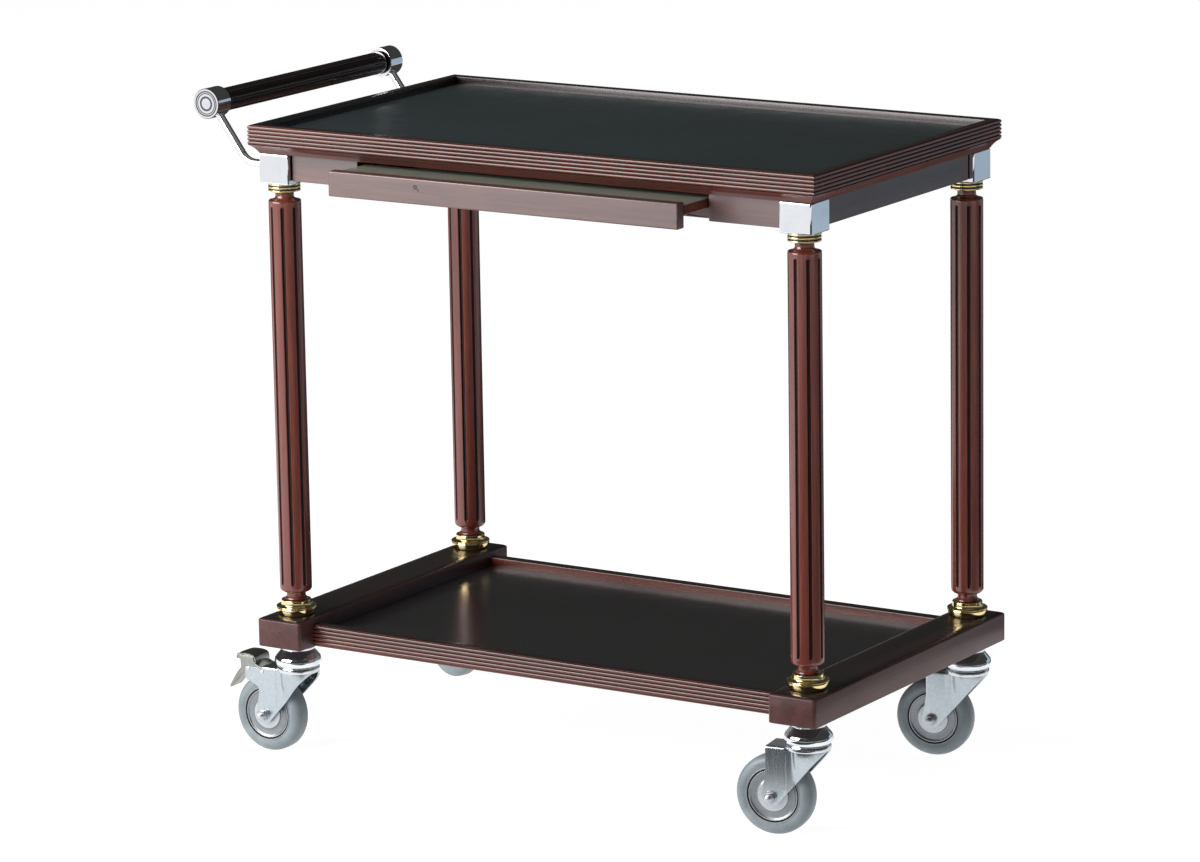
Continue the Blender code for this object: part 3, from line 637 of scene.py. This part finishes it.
def fluted_rows(radius, start, stop, half_width, depth, below, above, rim=0.00045, between=4):
    """Rings of (angle, radius, position): plain ones, then flutes from start to stop, then plain ones."""
    hollow, _, meet = flute_shape(half_width, depth, rim)
    turn = asin(min(meet / hollow, 1.0))
    steps = [hollow * sin(turn * k / 6) for k in range(7)]
    steps += [meet + (half_width - meet) * share for share in (0.22, 0.45, 0.7, 1.0)]
    across = [-s for s in reversed(steps[1:])] + steps
    angles = []
    for i in range(FLUTES):
        middle = FULL_TURN * i / FLUTES
        angles += [(middle + s / radius, s) for s in across]
        gap = FULL_TURN / FLUTES - 2 * half_width / radius
        for k in range(1, between + 1):
            angles.append((middle + half_width / radius + gap * k / (between + 1), half_width * 2))
    ends = [half_width - s for s in reversed(steps)]
    positions = [start + e for e in ends] + [stop - e for e in reversed(ends)]
    rows = []
    for position in positions:
        run = max(start + half_width - position, position - (stop - half_width))
        depths = [(a, flute_depth(s, run, half_width, depth, rim)) for a, s in angles]
        rows.append([(a, radius - sunk, position) for a, sunk in depths])
    lower, upper = [[[(a, r, z) for a, _ in angles] for r, z in plain] for plain in (below, above)]
    return lower + rows + upper


def build_column(corner):
    node = "column_" + corner
    low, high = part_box(node)
    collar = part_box("top_collar_" + corner)[0].z
    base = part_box("base_collar_" + corner)[1].z
    radius = (high.x - low.x) / 2
    bottom, top = base + 0.0101, collar - 0.0115
    below = [
        (0.0074, low.z), (0.0074, base + 0.0003), (0.0138, base + 0.0003), (0.0145, base + 0.0008),
        (0.0144, base + 0.0015), (0.0138, base + 0.0024), (0.0131, base + 0.0031), (0.0124, base + 0.0038),
        (0.0122, base + 0.0048), (0.0122, bottom - 0.0012), (0.0125, bottom - 0.0003),
        *[(radius - inward, bottom + up) for inward, up in round_over(0.006, 0.0057, 6)],
    ]
    head = list(reversed(round_over(0.0012, 0.0016, 6)))[1:]
    above = [
        (radius, top - 0.0028), *[(radius - inward, top - down) for inward, down in head],
        (0.0178, top + 0.0002), (0.0155, top + 0.0009), (0.0137, top + 0.0018), (0.0124, top + 0.0029),
        (0.0118, top + 0.0042), (0.0116, top + 0.006), (0.0116, collar - 0.001),
        (0.0119, collar - 0.0003), (0.0074, collar - 0.0003), (0.0074, high.z),
    ]
    rows = fluted_rows(radius, base + 0.0196, collar - 0.0182, 0.0027, 0.0023, below, above)
    points = [[(r * cos(a), r * sin(a), z) for a, r, z in row] for row in rows]
    bm = bmesh.new()
    skin(bm, points, closed_rows=True, caps=True)
    # Painted shade: the hollows of the flutes take a near-black wood.
    first, last, hollow = base + 0.0197, collar - 0.0183, radius - 0.0007
    mark(bm, 1, lambda spot: first < spot.z < last and hypot(spot.x, spot.y) < hollow)
    place = (middle_of(low.x, high.x), middle_of(low.y, high.y), 0)
    woods, turn = [COLUMN_WOOD, FLUTE_SHADE_WOOD], radians(PHASE[corner])
    piece("fluted_" + node, bm, woods, "frame", node, place, turn)
    return place


def build_collars(corner, place):
    node = "top_collar_" + corner
    low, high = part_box(node)
    radius, height, bore = (high.x - low.x) / 2, high.z - low.z, 0.0078
    groove, inset = 0.0019, 0.0015
    ring = (height - 2 * groove) / 3
    outline = [(bore, high.z, 0)]
    for i in range(3):
        upper = high.z - (ring + groove) * i
        lower = upper - ring
        outline += [(radius, upper, 0.0006), (radius, lower, 0.0006 if i < 2 else 0.0013)]
        if i < 2:
            outline += [(radius - inset, lower, 0.0003), (radius - inset, lower - groove, 0.0003)]
    outline += [(0.015, low.z, 0.0004), (bore, low.z, 0)]
    bm = bmesh.new()
    add_lathe(bm, rounded(outline, 0, 4), 72)
    # Painted shade: the collar's two grooves are coloured dark.
    margin, neck, rim = 0.001, 0.0155, radius - 0.0009

    def in_groove(spot):
        return neck < hypot(spot.x, spot.y) < rim and low.z + margin < spot.z < high.z - margin

    mark(bm, 1, in_groove)
    piece("brass_" + node, bm, [BRASS, DARK_JOINT_AND_SHADE], "frame", node, place)

    node = "base_collar_" + corner
    low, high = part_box(node)
    z, tall = low.z, high.z - low.z
    outline = [
        (bore, z, 0), (0.0233, z, 0.0003), (0.0246, z + 0.0036, 0.002), (0.0254, z + 0.0084, 0.001),
        (0.0247, z + 0.0095, 0.0003), (0.0247, z + 0.0098, 0.0002), (0.0256, z + 0.01, 0.0003),
        (0.0256, z + 0.0106, 0.0004), (0.0248, z + 0.0112, 0.0006), (0.0195, z + 0.012, 0.0012),
        (0.019, z + 0.016, 0.001), (0.019, z + tall - 0.0003, 0.0008), (0.015, z + tall, 0.0006),
        (bore, z + tall, 0),
    ]
    bm = bmesh.new()
    add_lathe(bm, rounded(outline, 0, 5), 72)
    piece("brass_" + node, bm, [BRASS], "frame", node, place)


# ---- lower tier
EDGE_WIDTH, EDGE_DROP = 0.013, 0.0038   # the soft roll-off round a beam's top
BEAM_FOOT = 0.0015                      # radius of a beam's lower edge


def build_lower_tier():
    for side in ("left", "right"):
        node = "beam_" + side
        low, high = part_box(node)
        half_x, half_y = (high.x - low.x) / 2, (high.y - low.y) / 2
        middle = (low + high) / 2
        foot, edge = round_over(BEAM_FOOT, BEAM_FOOT, 3), reversed(round_over(EDGE_WIDTH, EDGE_DROP, 10))
        levels = [(inset, low.z + up) for inset, up in foot]
        levels += [(inset, high.z - down) for inset, down in edge]
        rows = []
        for inset, z in levels:
            outline = rounded_rectangle(half_x - inset, half_y - inset, 0.0045)
            rows.append([(middle.x + x, middle.y + y, z) for x, y in outline])
        bm = bmesh.new()
        skin(bm, rows, closed_rows=True, caps=True)
        before = set(bm.faces)
        plug = [(0, 0), (0.0011, 0), (0.0014, 0.0002), (0, 0.0002)]
        for y, out in ((low.y, -1), (high.y, 1)):
            add_lathe(bm, [(r, out * h) for r, h in plug], 16, "Y", (middle.x + 0.001, y, middle.z + 0.002))
        mark_new(bm, before, 1)
        # Painted shade: the beam's underside takes a near-black wood.
        for face in before:
            if face.normal.z < -0.9 or face.calc_center_median().z < low.z + 0.0001:
                face.material_index = 2

        # Painted shade: the beam's top, inside its rounded edge, takes the darker top wood.
        def on_top(spot):
            inside = min(half_x - abs(spot.x - middle.x), half_y - abs(spot.y - middle.y))
            return spot.z > high.z - EDGE_DROP and inside > 0.0028

        mark(bm, 3, on_top)
        piece("end_" + node, bm, [BEAM_WOOD, DARK_JOINT_AND_SHADE, SHADED_UNDERSIDE, SHADED_TOP_WOOD["Y"]], "frame", node)

    for side, sign in (("front", -1), ("back", 1)):
        node = "shelf_rim_" + side
        low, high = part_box(node)
        face = high.y if sign > 0 else low.y
        width, top_width, lip, groove, panel = high.y - low.y, 0.0165, 0.01, 0.0075, 0.0126
        section = [
            (0.0022, low.z), (0.0014, low.z + 0.0007), (0.0012, low.z + 0.0022),
            *reeds(low.z + 0.0024, high.z - low.z - 0.0034),
            *arc((0.0024, high.z - 0.0014), 0.0014, 150, 90, 3),
            *arc((top_width - 0.0012, high.z - 0.0012), 0.0012, 90, 0, 3), (top_width, high.z - lip),
            (top_width + groove, high.z - lip), (top_width + groove, high.z - lip - panel),
            (width, high.z - lip - panel), (width, low.z),
        ]
        bm = bmesh.new()
        section = [(face - sign * depth, height) for depth, height in section]
        add_prism(bm, section, lambda a, b: (low.x, a, b), lambda a, b: (high.x, a, b))

        # Painted shade: the rim's top face and its reed valleys take the darker top wood.
        def shaded(spot):
            valley = VALLEY < abs(spot.y - face) < REED_DEPTH and low.z + 0.0024 < spot.z < high.z - 0.0014
            return spot.z > high.z - FLAT_TOP or valley

        mark(bm, 1, shaded)
        piece("reeded_" + node, bm, [WOOD["X"], SHADED_TOP_WOOD["X"]], "frame", node)
    frame["nodes"]["shelf_panel"].data.materials[0] = SHELF_LAMINATE


# ---- handle
def tube(bm, route, radius, segments):
    """A round bar along a route in the XZ plane, as points (x, y, z)."""
    rows = []
    side = Vector((0, 1, 0))
    for k, point in enumerate(route):
        run = (Vector(route[min(k + 1, len(route) - 1)]) - Vector(route[max(k - 1, 0)])).normalized()
        up = run.cross(side)
        spokes = [(side * cos(a) + up * sin(a)) * radius for a in circle(segments)]
        rows.append([Vector(point) + spoke for spoke in spokes])
    skin(bm, rows, closed_rows=True, caps=True)


def build_handle():
    grip_low, grip_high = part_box("handle_grip")
    axis_x, grip_y, axis_z = middle_of(grip_low, grip_high)
    slope, bend = radians(54), 0.024
    for side, sign in (("front", -1), ("back", 1)):
        block_low, block_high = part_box("corner_block_" + side + "_left")
        arm_low, arm_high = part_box("handle_arm_" + side)
        y, radius = middle_of(arm_low.y, arm_high.y), (arm_high.y - arm_low.y) / 2
        level = middle_of(block_low.z, block_high.z)
        knee = axis_x + (axis_z - level) / tan(slope) + bend * tan(slope / 2)
        end = degrees(slope)
        path = [(block_low.x, level), *arc((knee, level + bend), bend, -90, -90 - end, 16)]
        cap_low, cap_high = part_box("handle_cap_" + side)
        cap_radius = (cap_high.z - cap_low.z) / 2
        reach = cap_radius - 0.0012
        path.append((axis_x + cos(slope) * reach, axis_z - sin(slope) * reach))
        bm = bmesh.new()
        tube(bm, [(x, y, z) for x, z in path], radius, 28)
        wide, thick = radius + 0.0016, 0.0016
        collar = [(0, 0), (wide, 0), (wide, 0.001), (radius, thick), (0, thick)]
        rows = []
        for r, h in collar:
            x = block_low.x - 0.0001 - h
            rows.append([(x, y + r * cos(a), level + r * sin(a)) for a in circle(28)])
        skin(bm, rows, closed_rows=True)
        piece("chrome_arm_" + side, bm, [CHROME], "frame", "handle_arm_" + side)

        inner, outer = (cap_low.y, cap_high.y) if sign > 0 else (cap_high.y, cap_low.y)
        length = abs(outer - inner)
        r, seat = cap_radius, 0.0149
        face, groove = length - 0.0002, length - 0.0007
        outline = [
            (0, 0.012, 0), (seat, 0.012, 0), (seat, 0, 0.0003), (r - 0.0004, 0, 0.0006),
            (r, 0.0006, 0.0008), (r, length - 0.001, 0), (r - 0.0008, face, 0),
        ]
        grooves = (
            (0.0163, 0.0161, 0.0148, 0.0146), (0.0136, 0.0134, 0.0126, 0.0124),
            (0.0095, 0.0092, 0.0071, 0.0069),
        )
        for a, b, c, d in grooves:
            outline += [(a, face, 0), (b, groove, 0), (c, groove, 0), (d, face, 0)]
        outline += [(0.0045, length - 0.0001, 0.0008), (0, length, 0)]
        bm = bmesh.new()
        profile = [(width, sign * height) for width, height in rounded(outline, 0, 4)]
        add_lathe(bm, profile, 64, "Y", (axis_x, inner, axis_z), closed=False)
        # Painted shade: the face's three grooves and a thin outline round its outer edge are coloured dark.
        on_edge = within((axis_x, axis_z), (r - 0.0007, r + 1))
        mark(bm, 1, within((axis_x, axis_z), (0.01242, 0.01358), (0.01462, 0.01628), (0.00692, 0.00948)))
        mark(bm, 1, lambda spot: on_edge(spot) and abs(spot.y - outer) < 0.0009)
        piece("chrome_cap_" + side, bm, [CHROME, DARK_JOINT_AND_SHADE], "frame", "handle_cap_" + side)

    half, radius = (grip_high.y - grip_low.y) / 2, (grip_high.z - grip_low.z) / 2
    plain = [
        (radius - 0.001, -half), (radius - 0.001, -half + 0.0121), (radius - 0.0025, -half + 0.0125),
        (radius - 0.0008, -half + 0.014), (radius, -half + 0.016),
    ]
    mirrored = [(r, -y) for r, y in reversed(plain)]
    rows = fluted_rows(radius, -half + 0.02, half - 0.02, 0.0027, 0.0012, plain, mirrored, 0.0003)
    points = [[(r * cos(a), y, r * sin(a)) for a, r, y in row] for row in rows]
    bm = bmesh.new()
    skin(bm, points, closed_rows=True, caps=True)
    middle = (axis_x, grip_y, axis_z)
    piece("fluted_grip", bm, [GRIP_WOOD], "frame", "handle_grip", middle)


# ---- casters
TRAIL, WHEEL_Z = 0.042, 0.05
PLATE_Z, RACE_TOP = 0.1136, 0.1177
LEG_OUT, SHEET = 0.0195, 0.0026
BENDS = (0.0228, 0.0219, 0.012)  # a leg's bends: the strip's edge, its crease, the second facet's end


def caster_place(corner):
    """Where a caster's own frame stands, and how far it is turned."""
    x, y, _ = JOINTS["swivel_" + corner]["pos_m"]
    axis = JOINTS["spin_" + corner]["axis"]
    return (x, y, 0), atan2(-axis[0], axis[1])


def caster_piece(name, corner, bm, finish, body, node=None):
    """A piece of a caster that turns with one of its bodies."""
    place, turn = caster_place(corner)
    node = node and node + "_" + corner
    return piece(name + "_" + corner, bm, finish, body + "_" + corner, node, place, turn)


def build_head(corner):
    place, _ = caster_place(corner)
    low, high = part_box("caster_head_" + corner)
    top, seam, thick = high.z, 0.118, 0.0036
    ring = [(0, top, 0), (0.0222, top, 0.0005), (0.0222, top - thick, 0.0006), (0, top - thick, 0)]
    bm = bmesh.new()
    add_lathe(bm, rounded(ring, 0, 3), 72, closed=False)
    piece("brass_seat_" + corner, bm, [SEAT_BRASS], "frame", location=place)
    cup = [
        (0, top - thick, 0), (0.0212, top - thick, 0.0004), (0.0224, top - 0.0044, 0.0006),
        (0.0224, top - 0.007, 0.0008), (0.0208, top - 0.0076, 0.0003), (0.0214, top - 0.0086, 0.0006),
        (0.0262, top - 0.0142, 0.003), (0.0296, top - 0.0184, 0.003), (0.0302, seam + 0.0062, 0.002),
        (0.0298, seam + 0.003, 0.0015), (0.0284, seam + 0.0014, 0.0008), (0.027, seam, 0.0004),
        (0.006, seam, 0), (0.006, low.z, 0), (0, low.z, 0),
    ]
    bm = bmesh.new()
    add_lathe(bm, rounded(cup, 0, 4), 72, closed=False)
    piece("chrome_cup_" + corner, bm, [CHROME], "frame", "caster_head_" + corner, place)


def fork_edge(z, braked):
    """Rear and front edge of a fork leg at a height."""
    end, touch, waist, neck = 0.0122, 0.0406, 0.056, 0.0487
    across = sqrt(max(end ** 2 - (z - WHEEL_Z) ** 2, 0))
    if z < touch:
        rear = TRAIL - across
    else:
        foot, top = 0.0346, -0.027
        rear = foot - (z - touch) * (foot - top) / (PLATE_Z - 0.003 - touch)
    if z < waist:
        front = TRAIL + across
    else:
        front = max(neck, 0.0527 - (z - waist) * 0.16)
    flare = 0.084
    if braked and z > flare:
        t = min((z - flare) / 0.013, 1.0)
        front = neck + (0.07 - neck) * (t * t * (3 - 2 * t))
    return rear, front


def leg_side(u, z):
    """Half-width of the fork at a point of its leg: a flat strip in front, then two facets to the race."""
    first, crease, second = BENDS
    if u >= first:
        return LEG_OUT
    step = 0.0005 * min((first - u) / (first - crease), 1.0)
    step += 0.0017 * min(max((crease - u) / (crease - second), 0), 1.0)
    shoulder, race = 0.066, 0.0272
    rise = min(max((z - shoulder) / (PLATE_Z - 0.0045 - shoulder), 0), 1.0)
    dish = sqrt(max(race ** 2 - u ** 2, 0))
    toward = min(max((second + 0.004 - u) / 0.008, 0), 1.0) * rise * rise * (3 - 2 * rise)
    near = LEG_OUT - step
    return near + (dish - near) * toward


def build_fork(corner):
    braked = corner in BRAKED
    heights = [
        0.0378, 0.038, 0.0386, 0.0396, 0.0412, 0.044, 0.0475, 0.0515, 0.056, 0.061, 0.067, 0.074,
        0.081, 0.086, 0.0885, 0.091, 0.0935, 0.096, 0.098, 0.101, 0.104, 0.107, 0.109, 0.1106,
    ]
    rows = []
    for z in heights:
        rear, front = fork_edge(z, braked)
        marks = [rear] + [min(max(bend, rear), front) for bend in reversed(BENDS)] + [front]
        row = []
        for a, b, steps in zip(marks, marks[1:], (12, 6, 2, 9)):
            row += [a + (b - a) * k / steps for k in range(steps)]
        rows.append([(u, leg_side(u, z), z) for u in row + [front]])
    bend = 0.003
    last = rows[-1]
    for k in range(1, 5):
        a = QUARTER_TURN * k / 4
        inward, z = bend * (1 - cos(a)), heights[-1] + bend * sin(a)
        rows.append([(u, max(v - inward, 0), z) for u, v, _ in last])
    edge = rows[-1]
    rows += [[(u, v * share, z) for u, v, z in edge] for share in (0.66, 0.33, 0)]
    rows += [[(u, -v, z) for u, v, z in row] for row in reversed(rows[:-1])]
    bm = bmesh.new()
    skin(bm, rows)
    bmesh.ops.remove_doubles(bm, verts=bm.verts, dist=2e-5)
    if braked:
        plate_end = 0.046
        centers = [(face, face.calc_center_median()) for face in bm.faces]
        open_top = [face for face, spot in centers if spot.x > plate_end and spot.z > heights[-1] - 1e-5]
        bmesh.ops.delete(bm, geom=open_top, context="FACES")
    fork = caster_piece("pressed_fork", corner, bm, [ZINC], "fork", "caster_fork")
    thicken(fork, SHEET, -1.0)
    soften(fork, 0.0005, 2, 60)

    foot = RACE_TOP - 0.0082
    race = [
        (0.0064, RACE_TOP, 0), (0.0255, RACE_TOP, 0.0006), (0.0272, RACE_TOP - 0.001, 0.0008),
        (0.0278, RACE_TOP - 0.0034, 0.001), (0.0278, RACE_TOP - 0.0068, 0.0012), (0.0262, foot, 0.0006),
        (0.0064, foot, 0),
    ]
    bm = bmesh.new()
    add_lathe(bm, rounded(race, 0, 3), 72)
    if braked:
        r = 0.0026
        dome = [(0, 0.0014), (r * 0.5, 0.0012), (r * 0.86, 0.0007), (r, 0), (r, -0.0004), (0, -0.0004)]
        for u, z in ((0.0655, 0.1085), (0.0434, 0.106)):
            for sign in (-1, 1):
                turned = [(width, sign * height) for width, height in dome]
                add_lathe(bm, turned, 20, "Y", (u, sign * LEG_OUT, z), closed=False)
    caster_piece("race", corner, bm, [BRIGHT_ZINC], "fork")


def build_wheel(corner):
    half, r = 0.0143, WHEEL_Z
    side = [
        (0.0322, 0.006), (0.0331, half - 0.0024), (0.0336, half - 0.0012), (0.0346, half - 0.0008),
        (0.0354, half - 0.0013), (0.0364, half - 0.0012), (0.0385, half - 0.0004), (0.0402, half - 0.0004),
        *arc((r - 0.0102, half - 0.0106), 0.0102, 84, 16, 10), (r - 0.0001, 0.0018),
    ]
    wheel = (TRAIL, 0, WHEEL_Z)
    bm = bmesh.new()
    add_lathe(bm, both_sides(side), 96, "Y", wheel)
    # Painted shade: a dark ring on the sidewall where it meets the hub.
    mark(bm, 1, within((TRAIL, WHEEL_Z), (0.0321, 0.0334)))
    caster_piece("tyre", corner, bm, [RUBBER, DARK_JOINT_AND_SHADE], "wheel", "caster_tyre")

    hub = [
        (0.0044, half - 0.0006, 0), (0.0192, half - 0.0006, 0.0008), (0.02, half - 0.0014, 0.0006),
        (0.0203, half - 0.003, 0.0008), (0.0222, half - 0.0036, 0.0016), (0.029, half - 0.003, 0.0014),
        (0.0306, half - 0.0016, 0.0006), (0.0318, half - 0.0016, 0.0005), (0.032, half - 0.007, 0),
    ]
    bm = bmesh.new()
    add_lathe(bm, both_sides(rounded(hub, 0, 3, closed=False)), 80, "Y", wheel)
    mark(bm, 1, within((TRAIL, WHEEL_Z), (0.0201, 0.0312)))
    caster_piece("hub", corner, bm, [CAST_ZINC, HUB_DISH], "wheel", "caster_hub")


def build_axle(corner):
    """Bolt, washers, nut and thread: its head on one side of the fork, its nut on the other."""
    bm = bmesh.new()
    washer = [(0, 0), (0.0078, 0), (0.008, 0.0003), (0.0078, 0.0008), (0, 0.0008)]
    pitch, turns = 0.0009, 6
    thread = [(0, 0)]
    for k in range(turns):
        thread += [(0.0033, 0.0004 + k * pitch), (0.0039, 0.0004 + (k + 0.5) * pitch)]
    thread += [(0.0033, 0.0004 + turns * pitch), (0.0026, 0.0062), (0, 0.0064)]
    nut, sixth = 0.0056, pi / 3
    face = LEG_OUT + 0.0002
    for sign in (-1, 1):
        turned = [(r, sign * h) for r, h in washer]
        add_lathe(bm, turned, 28, "Y", (TRAIL, sign * face, WHEEL_Z), closed=False)
        rows = []
        for radius, height in ((0.0056, 0), (0.0067, 0.0007), (0.0067, nut - 0.0008), (0.0056, nut)):
            y = sign * (face + 0.0008 + height)
            row = []
            for a in circle(24):
                flat = cos(sixth / 2) / cos((a % sixth) - sixth / 2)
                reach = min(0.0068 * flat, radius)
                row.append((TRAIL + reach * cos(a), y, WHEEL_Z + reach * sin(a)))
            rows.append(row)
        skin(bm, rows, closed_rows=True, caps=True)
    start = face + 0.0008 + nut - 0.0004
    add_lathe(bm, thread, 24, "Y", (TRAIL, start, WHEEL_Z), closed=False)
    shaft = [(0, -LEG_OUT), (0.004, -LEG_OUT), (0.004, LEG_OUT), (0, LEG_OUT)]
    add_lathe(bm, shaft, 24, "Y", (TRAIL, 0, WHEEL_Z), closed=False)
    caster_piece("bolt", corner, bm, [CAST_ZINC], "fork", "caster_axle")


def build_brake(corner):
    """A bent pedal plate with two cheeks on the pivot, and a lifting tongue under it."""
    plate = [
        (0.0849, 0.1186), (0.0848, 0.1222), (0.0838, 0.124), (0.0815, 0.1249), (0.077, 0.1254),
        (0.07, 0.1256), (0.064, 0.1252), (0.06, 0.124), (0.0578, 0.122), (0.057, 0.119),
        (0.057, 0.115),
    ]
    half_width, arch = 0.0158, 0.0008
    steps = [i / 6 - 1 for i in range(13)]
    rows = []
    for u, z in rounded([(a, b, 0) for a, b in plate], 0):
        rows.append([(u, half_width * s, z + arch * cos(QUARTER_TURN * s)) for s in steps])
    bm = bmesh.new()
    skin(bm, rows)
    pedal = caster_piece("pedal", corner, bm, [DULL_ZINC], "brake", "brake_pedal")
    thicken(pedal, 0.0018, 0)
    soften(pedal, 0.0005, 2, 60)

    cheek = rounded([
        (0.04, 0.106), (0.043, 0.103, 0.002), (0.054, 0.1022), (0.064, 0.1002), (0.0725, 0.0968),
        (0.0788, 0.102), (0.08, 0.118, 0.001), (0.0838, 0.119, 0.001), (0.0836, 0.124, 0.001),
        (0.06, 0.1238, 0.001), (0.0582, 0.115, 0.002), (0.045, 0.1098),
    ], 0.003, 3)
    tongue = rounded([
        (0.074, 0.1085), (0.0785, 0.1102, 0.002), (0.09, 0.0965, 0.004), (0.1008, 0.0792),
        (0.0992, 0.0772), (0.086, 0.093, 0.004), (0.075, 0.101, 0.002),
    ], 0.001, 3)
    bm = bmesh.new()
    for y in (-half_width, 0.014):
        add_prism(bm, cheek, lambda u, z: (u, y, z), lambda u, z: (u, y + 0.0018, z))

    def tongue_side(u):
        return 0.013 - (u - 0.08) * 0.06

    add_prism(bm, tongue, lambda u, z: (u, -tongue_side(u), z), lambda u, z: (u, tongue_side(u), z))
    pin = [(0, -0.019), (0.0024, -0.019), (0.0024, 0.019), (0, 0.019)]
    add_lathe(bm, pin, 20, "Y", (0.0434, 0, 0.106), closed=False)
    lever = caster_piece("lever", corner, bm, [DULL_ZINC], "brake")
    soften(lever, 0.0004, 2, 50)


def build_casters():
    for corner in CORNERS:
        for build in (build_head, build_fork, build_wheel, build_axle):
            build(corner)
        if corner in BRAKED:
            build_brake(corner)


# ---- stage, light and camera
def build_camera():
    """Above the front right corner, with a long lens."""
    azimuth, elevation, roll = radians(32.462), radians(12.512), radians(-0.947)
    distance, focal_length = 6.829, 162.35
    low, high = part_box("tray_panel")
    target = Vector(((low.x + high.x) / 2 - 0.0413, (low.y + high.y) / 2, 0.4182))
    level = cos(elevation)
    back = Vector((sin(azimuth) * level, -cos(azimuth) * level, sin(elevation)))
    right = Vector((cos(azimuth), sin(azimuth), 0))
    up = back.cross(right)
    right, up = right * cos(roll) + up * sin(roll), up * cos(roll) - right * sin(roll)
    data = bpy.data.cameras.new("camera")
    data.lens, data.sensor_width = focal_length, 36.0
    data.clip_end = 200
    camera = add_object("camera", data)
    axes = Matrix((right, up, back)).transposed().to_4x4()
    camera.matrix_world = Matrix.Translation(target + back * distance) @ axes
    bpy.context.scene.camera = camera


def soft_light(name, azimuth, distance, height, width, tall, power, color, aim, mirrored=True):
    """A softbox aimed at the trolley; azimuth 0 is on the -Y side."""
    a = radians(azimuth)
    data = bpy.data.lights.new(name, "AREA")
    data.shape, data.size, data.size_y = "RECTANGLE", width, tall
    data.energy, data.color = power, color
    lamp = add_object(name, data)
    lamp.location = (sin(a) * distance, -cos(a) * distance, height)
    lamp.rotation_euler = (Vector((0, 0, aim)) - lamp.location).to_track_quat("-Z", "Y").to_euler()
    lamp.visible_camera = False
    lamp.visible_glossy = mirrored


def flat_sheet(name, outline, height, material, glossy_only=False):
    """A horizontal sheet of the stage."""
    bm = bmesh.new()
    bm.faces.new([bm.verts.new((x, y, height)) for x, y in outline])
    made = add_object(name, bm)
    made.data.materials.append(material)
    if glossy_only:
        made.visible_camera = made.visible_diffuse = made.visible_shadow = False
    return made


def reflection_card(name, outline, shade, height=0.002, tall=0.0):
    """A card that glows only in reflections, a painted reflection in its colour; a tall one stands on its
    outline's first edge.
    """
    f = Finish(name + "_painted_reflection")
    painted_reflection = f.ramp(f.noise(3, 3), ((0.3, tuple(c * 0.9 for c in shade)), (0.7, shade)))
    black = (0.0, 0.0, 0.0, 1.0)
    f.surface(Base_Color=black, Specular_IOR_Level=0.0, Emission_Color=painted_reflection, Emission_Strength=1.0)
    made = flat_sheet(name, outline, height, f.material, glossy_only=True)
    if tall:
        for corner in made.data.vertices[2:4]:
            corner.co.z += tall


def build_stage():
    f = Finish("pale_floor")
    pale = f.ramp(f.noise(0.6, 3), ((0.3, grey(0.21)), (0.7, grey(0.23))))
    f.surface(Base_Color=pale, Roughness=0.9, Specular_IOR_Level=0.1, Emission_Color=(1.0, 1.0, 1.0, 1.0),
              Emission_Strength=0.95)
    flat_sheet("floor", [(-60, -60), (60, -60), (60, 60), (-60, 60)], 0.0, f.material)
    # Painted reflections: glowing cards, dark and blue-grey, that only glossy rays see.
    dark_outline = [(-0.04, -0.42), (-0.65, -3.3), (4.2, -3.3), (4.2, 0.4), (0.95, 0.4), (0.95, -0.42)]
    reflection_card("dark_card", dark_outline, (0.055, 0.062, 0.058))
    reflection_card("blue_card", [(0.95, 0.45), (8.0, 0.45), (8.0, 9.0), (0.95, 9.0)], (0.44, 0.53, 0.62))
    reflection_card("blue_wall", [(0.6, 4.8), (3.0, 3.1), (3.0, 3.1), (0.6, 4.8)], (0.4, 0.5, 0.58), tall=1.55)
    side_outline = [(1.15, 0.45), (6.0, 0.45), (6.0, 3.0), (3.6, 3.0), (1.15, 0.95)]
    reflection_card("side_card", side_outline, grey(0.05), 0.004)
    reflection_card("back_card", [(-5.5, 0.8), (0.9, 0.8), (0.9, 6.0), (-5.5, 6.0)], (0.05, 0.05, 0.045))

    soft_light("key", azimuth=-34, distance=2.75, height=1.72, width=2.4, tall=2.0, power=160,
               color=(1.0, 0.98, 0.97), aim=1.25)
    soft_light("fill", azimuth=128, distance=3.2, height=0.9, width=1.8, tall=1.6, power=3.5,
               color=(0.84, 0.91, 1.0), aim=0.45, mirrored=False)
    soft_light("overhead", azimuth=-20, distance=0.6, height=3.6, width=5.0, tall=5.0, power=11,
               color=(1.0, 1.0, 0.86), aim=0.3)

    world = bpy.data.worlds.new("studio")
    bpy.context.scene.world = world
    nodes = Nodes(world)
    path = nodes.node("ShaderNodeLightPath")
    color = (0.17, 0.17, 0.18)
    for ray, shade in (("Is Glossy Ray", (0.044, 0.048, 0.044)), ("Is Camera Ray", (1.0, 1.0, 1.0))):
        color = nodes.mix(path.outputs[ray], color, shade)
    nodes.feed(nodes.tree.nodes["Background"].inputs["Color"], color)


build_tray()
build_aprons()
build_blocks()
build_slide()
for corner_name in CORNERS:
    build_collars(corner_name, build_column(corner_name))
build_lower_tier()
build_handle()
build_casters()
build_camera()
build_stage()
bpy.context.scene.view_settings.view_transform = "Standard"
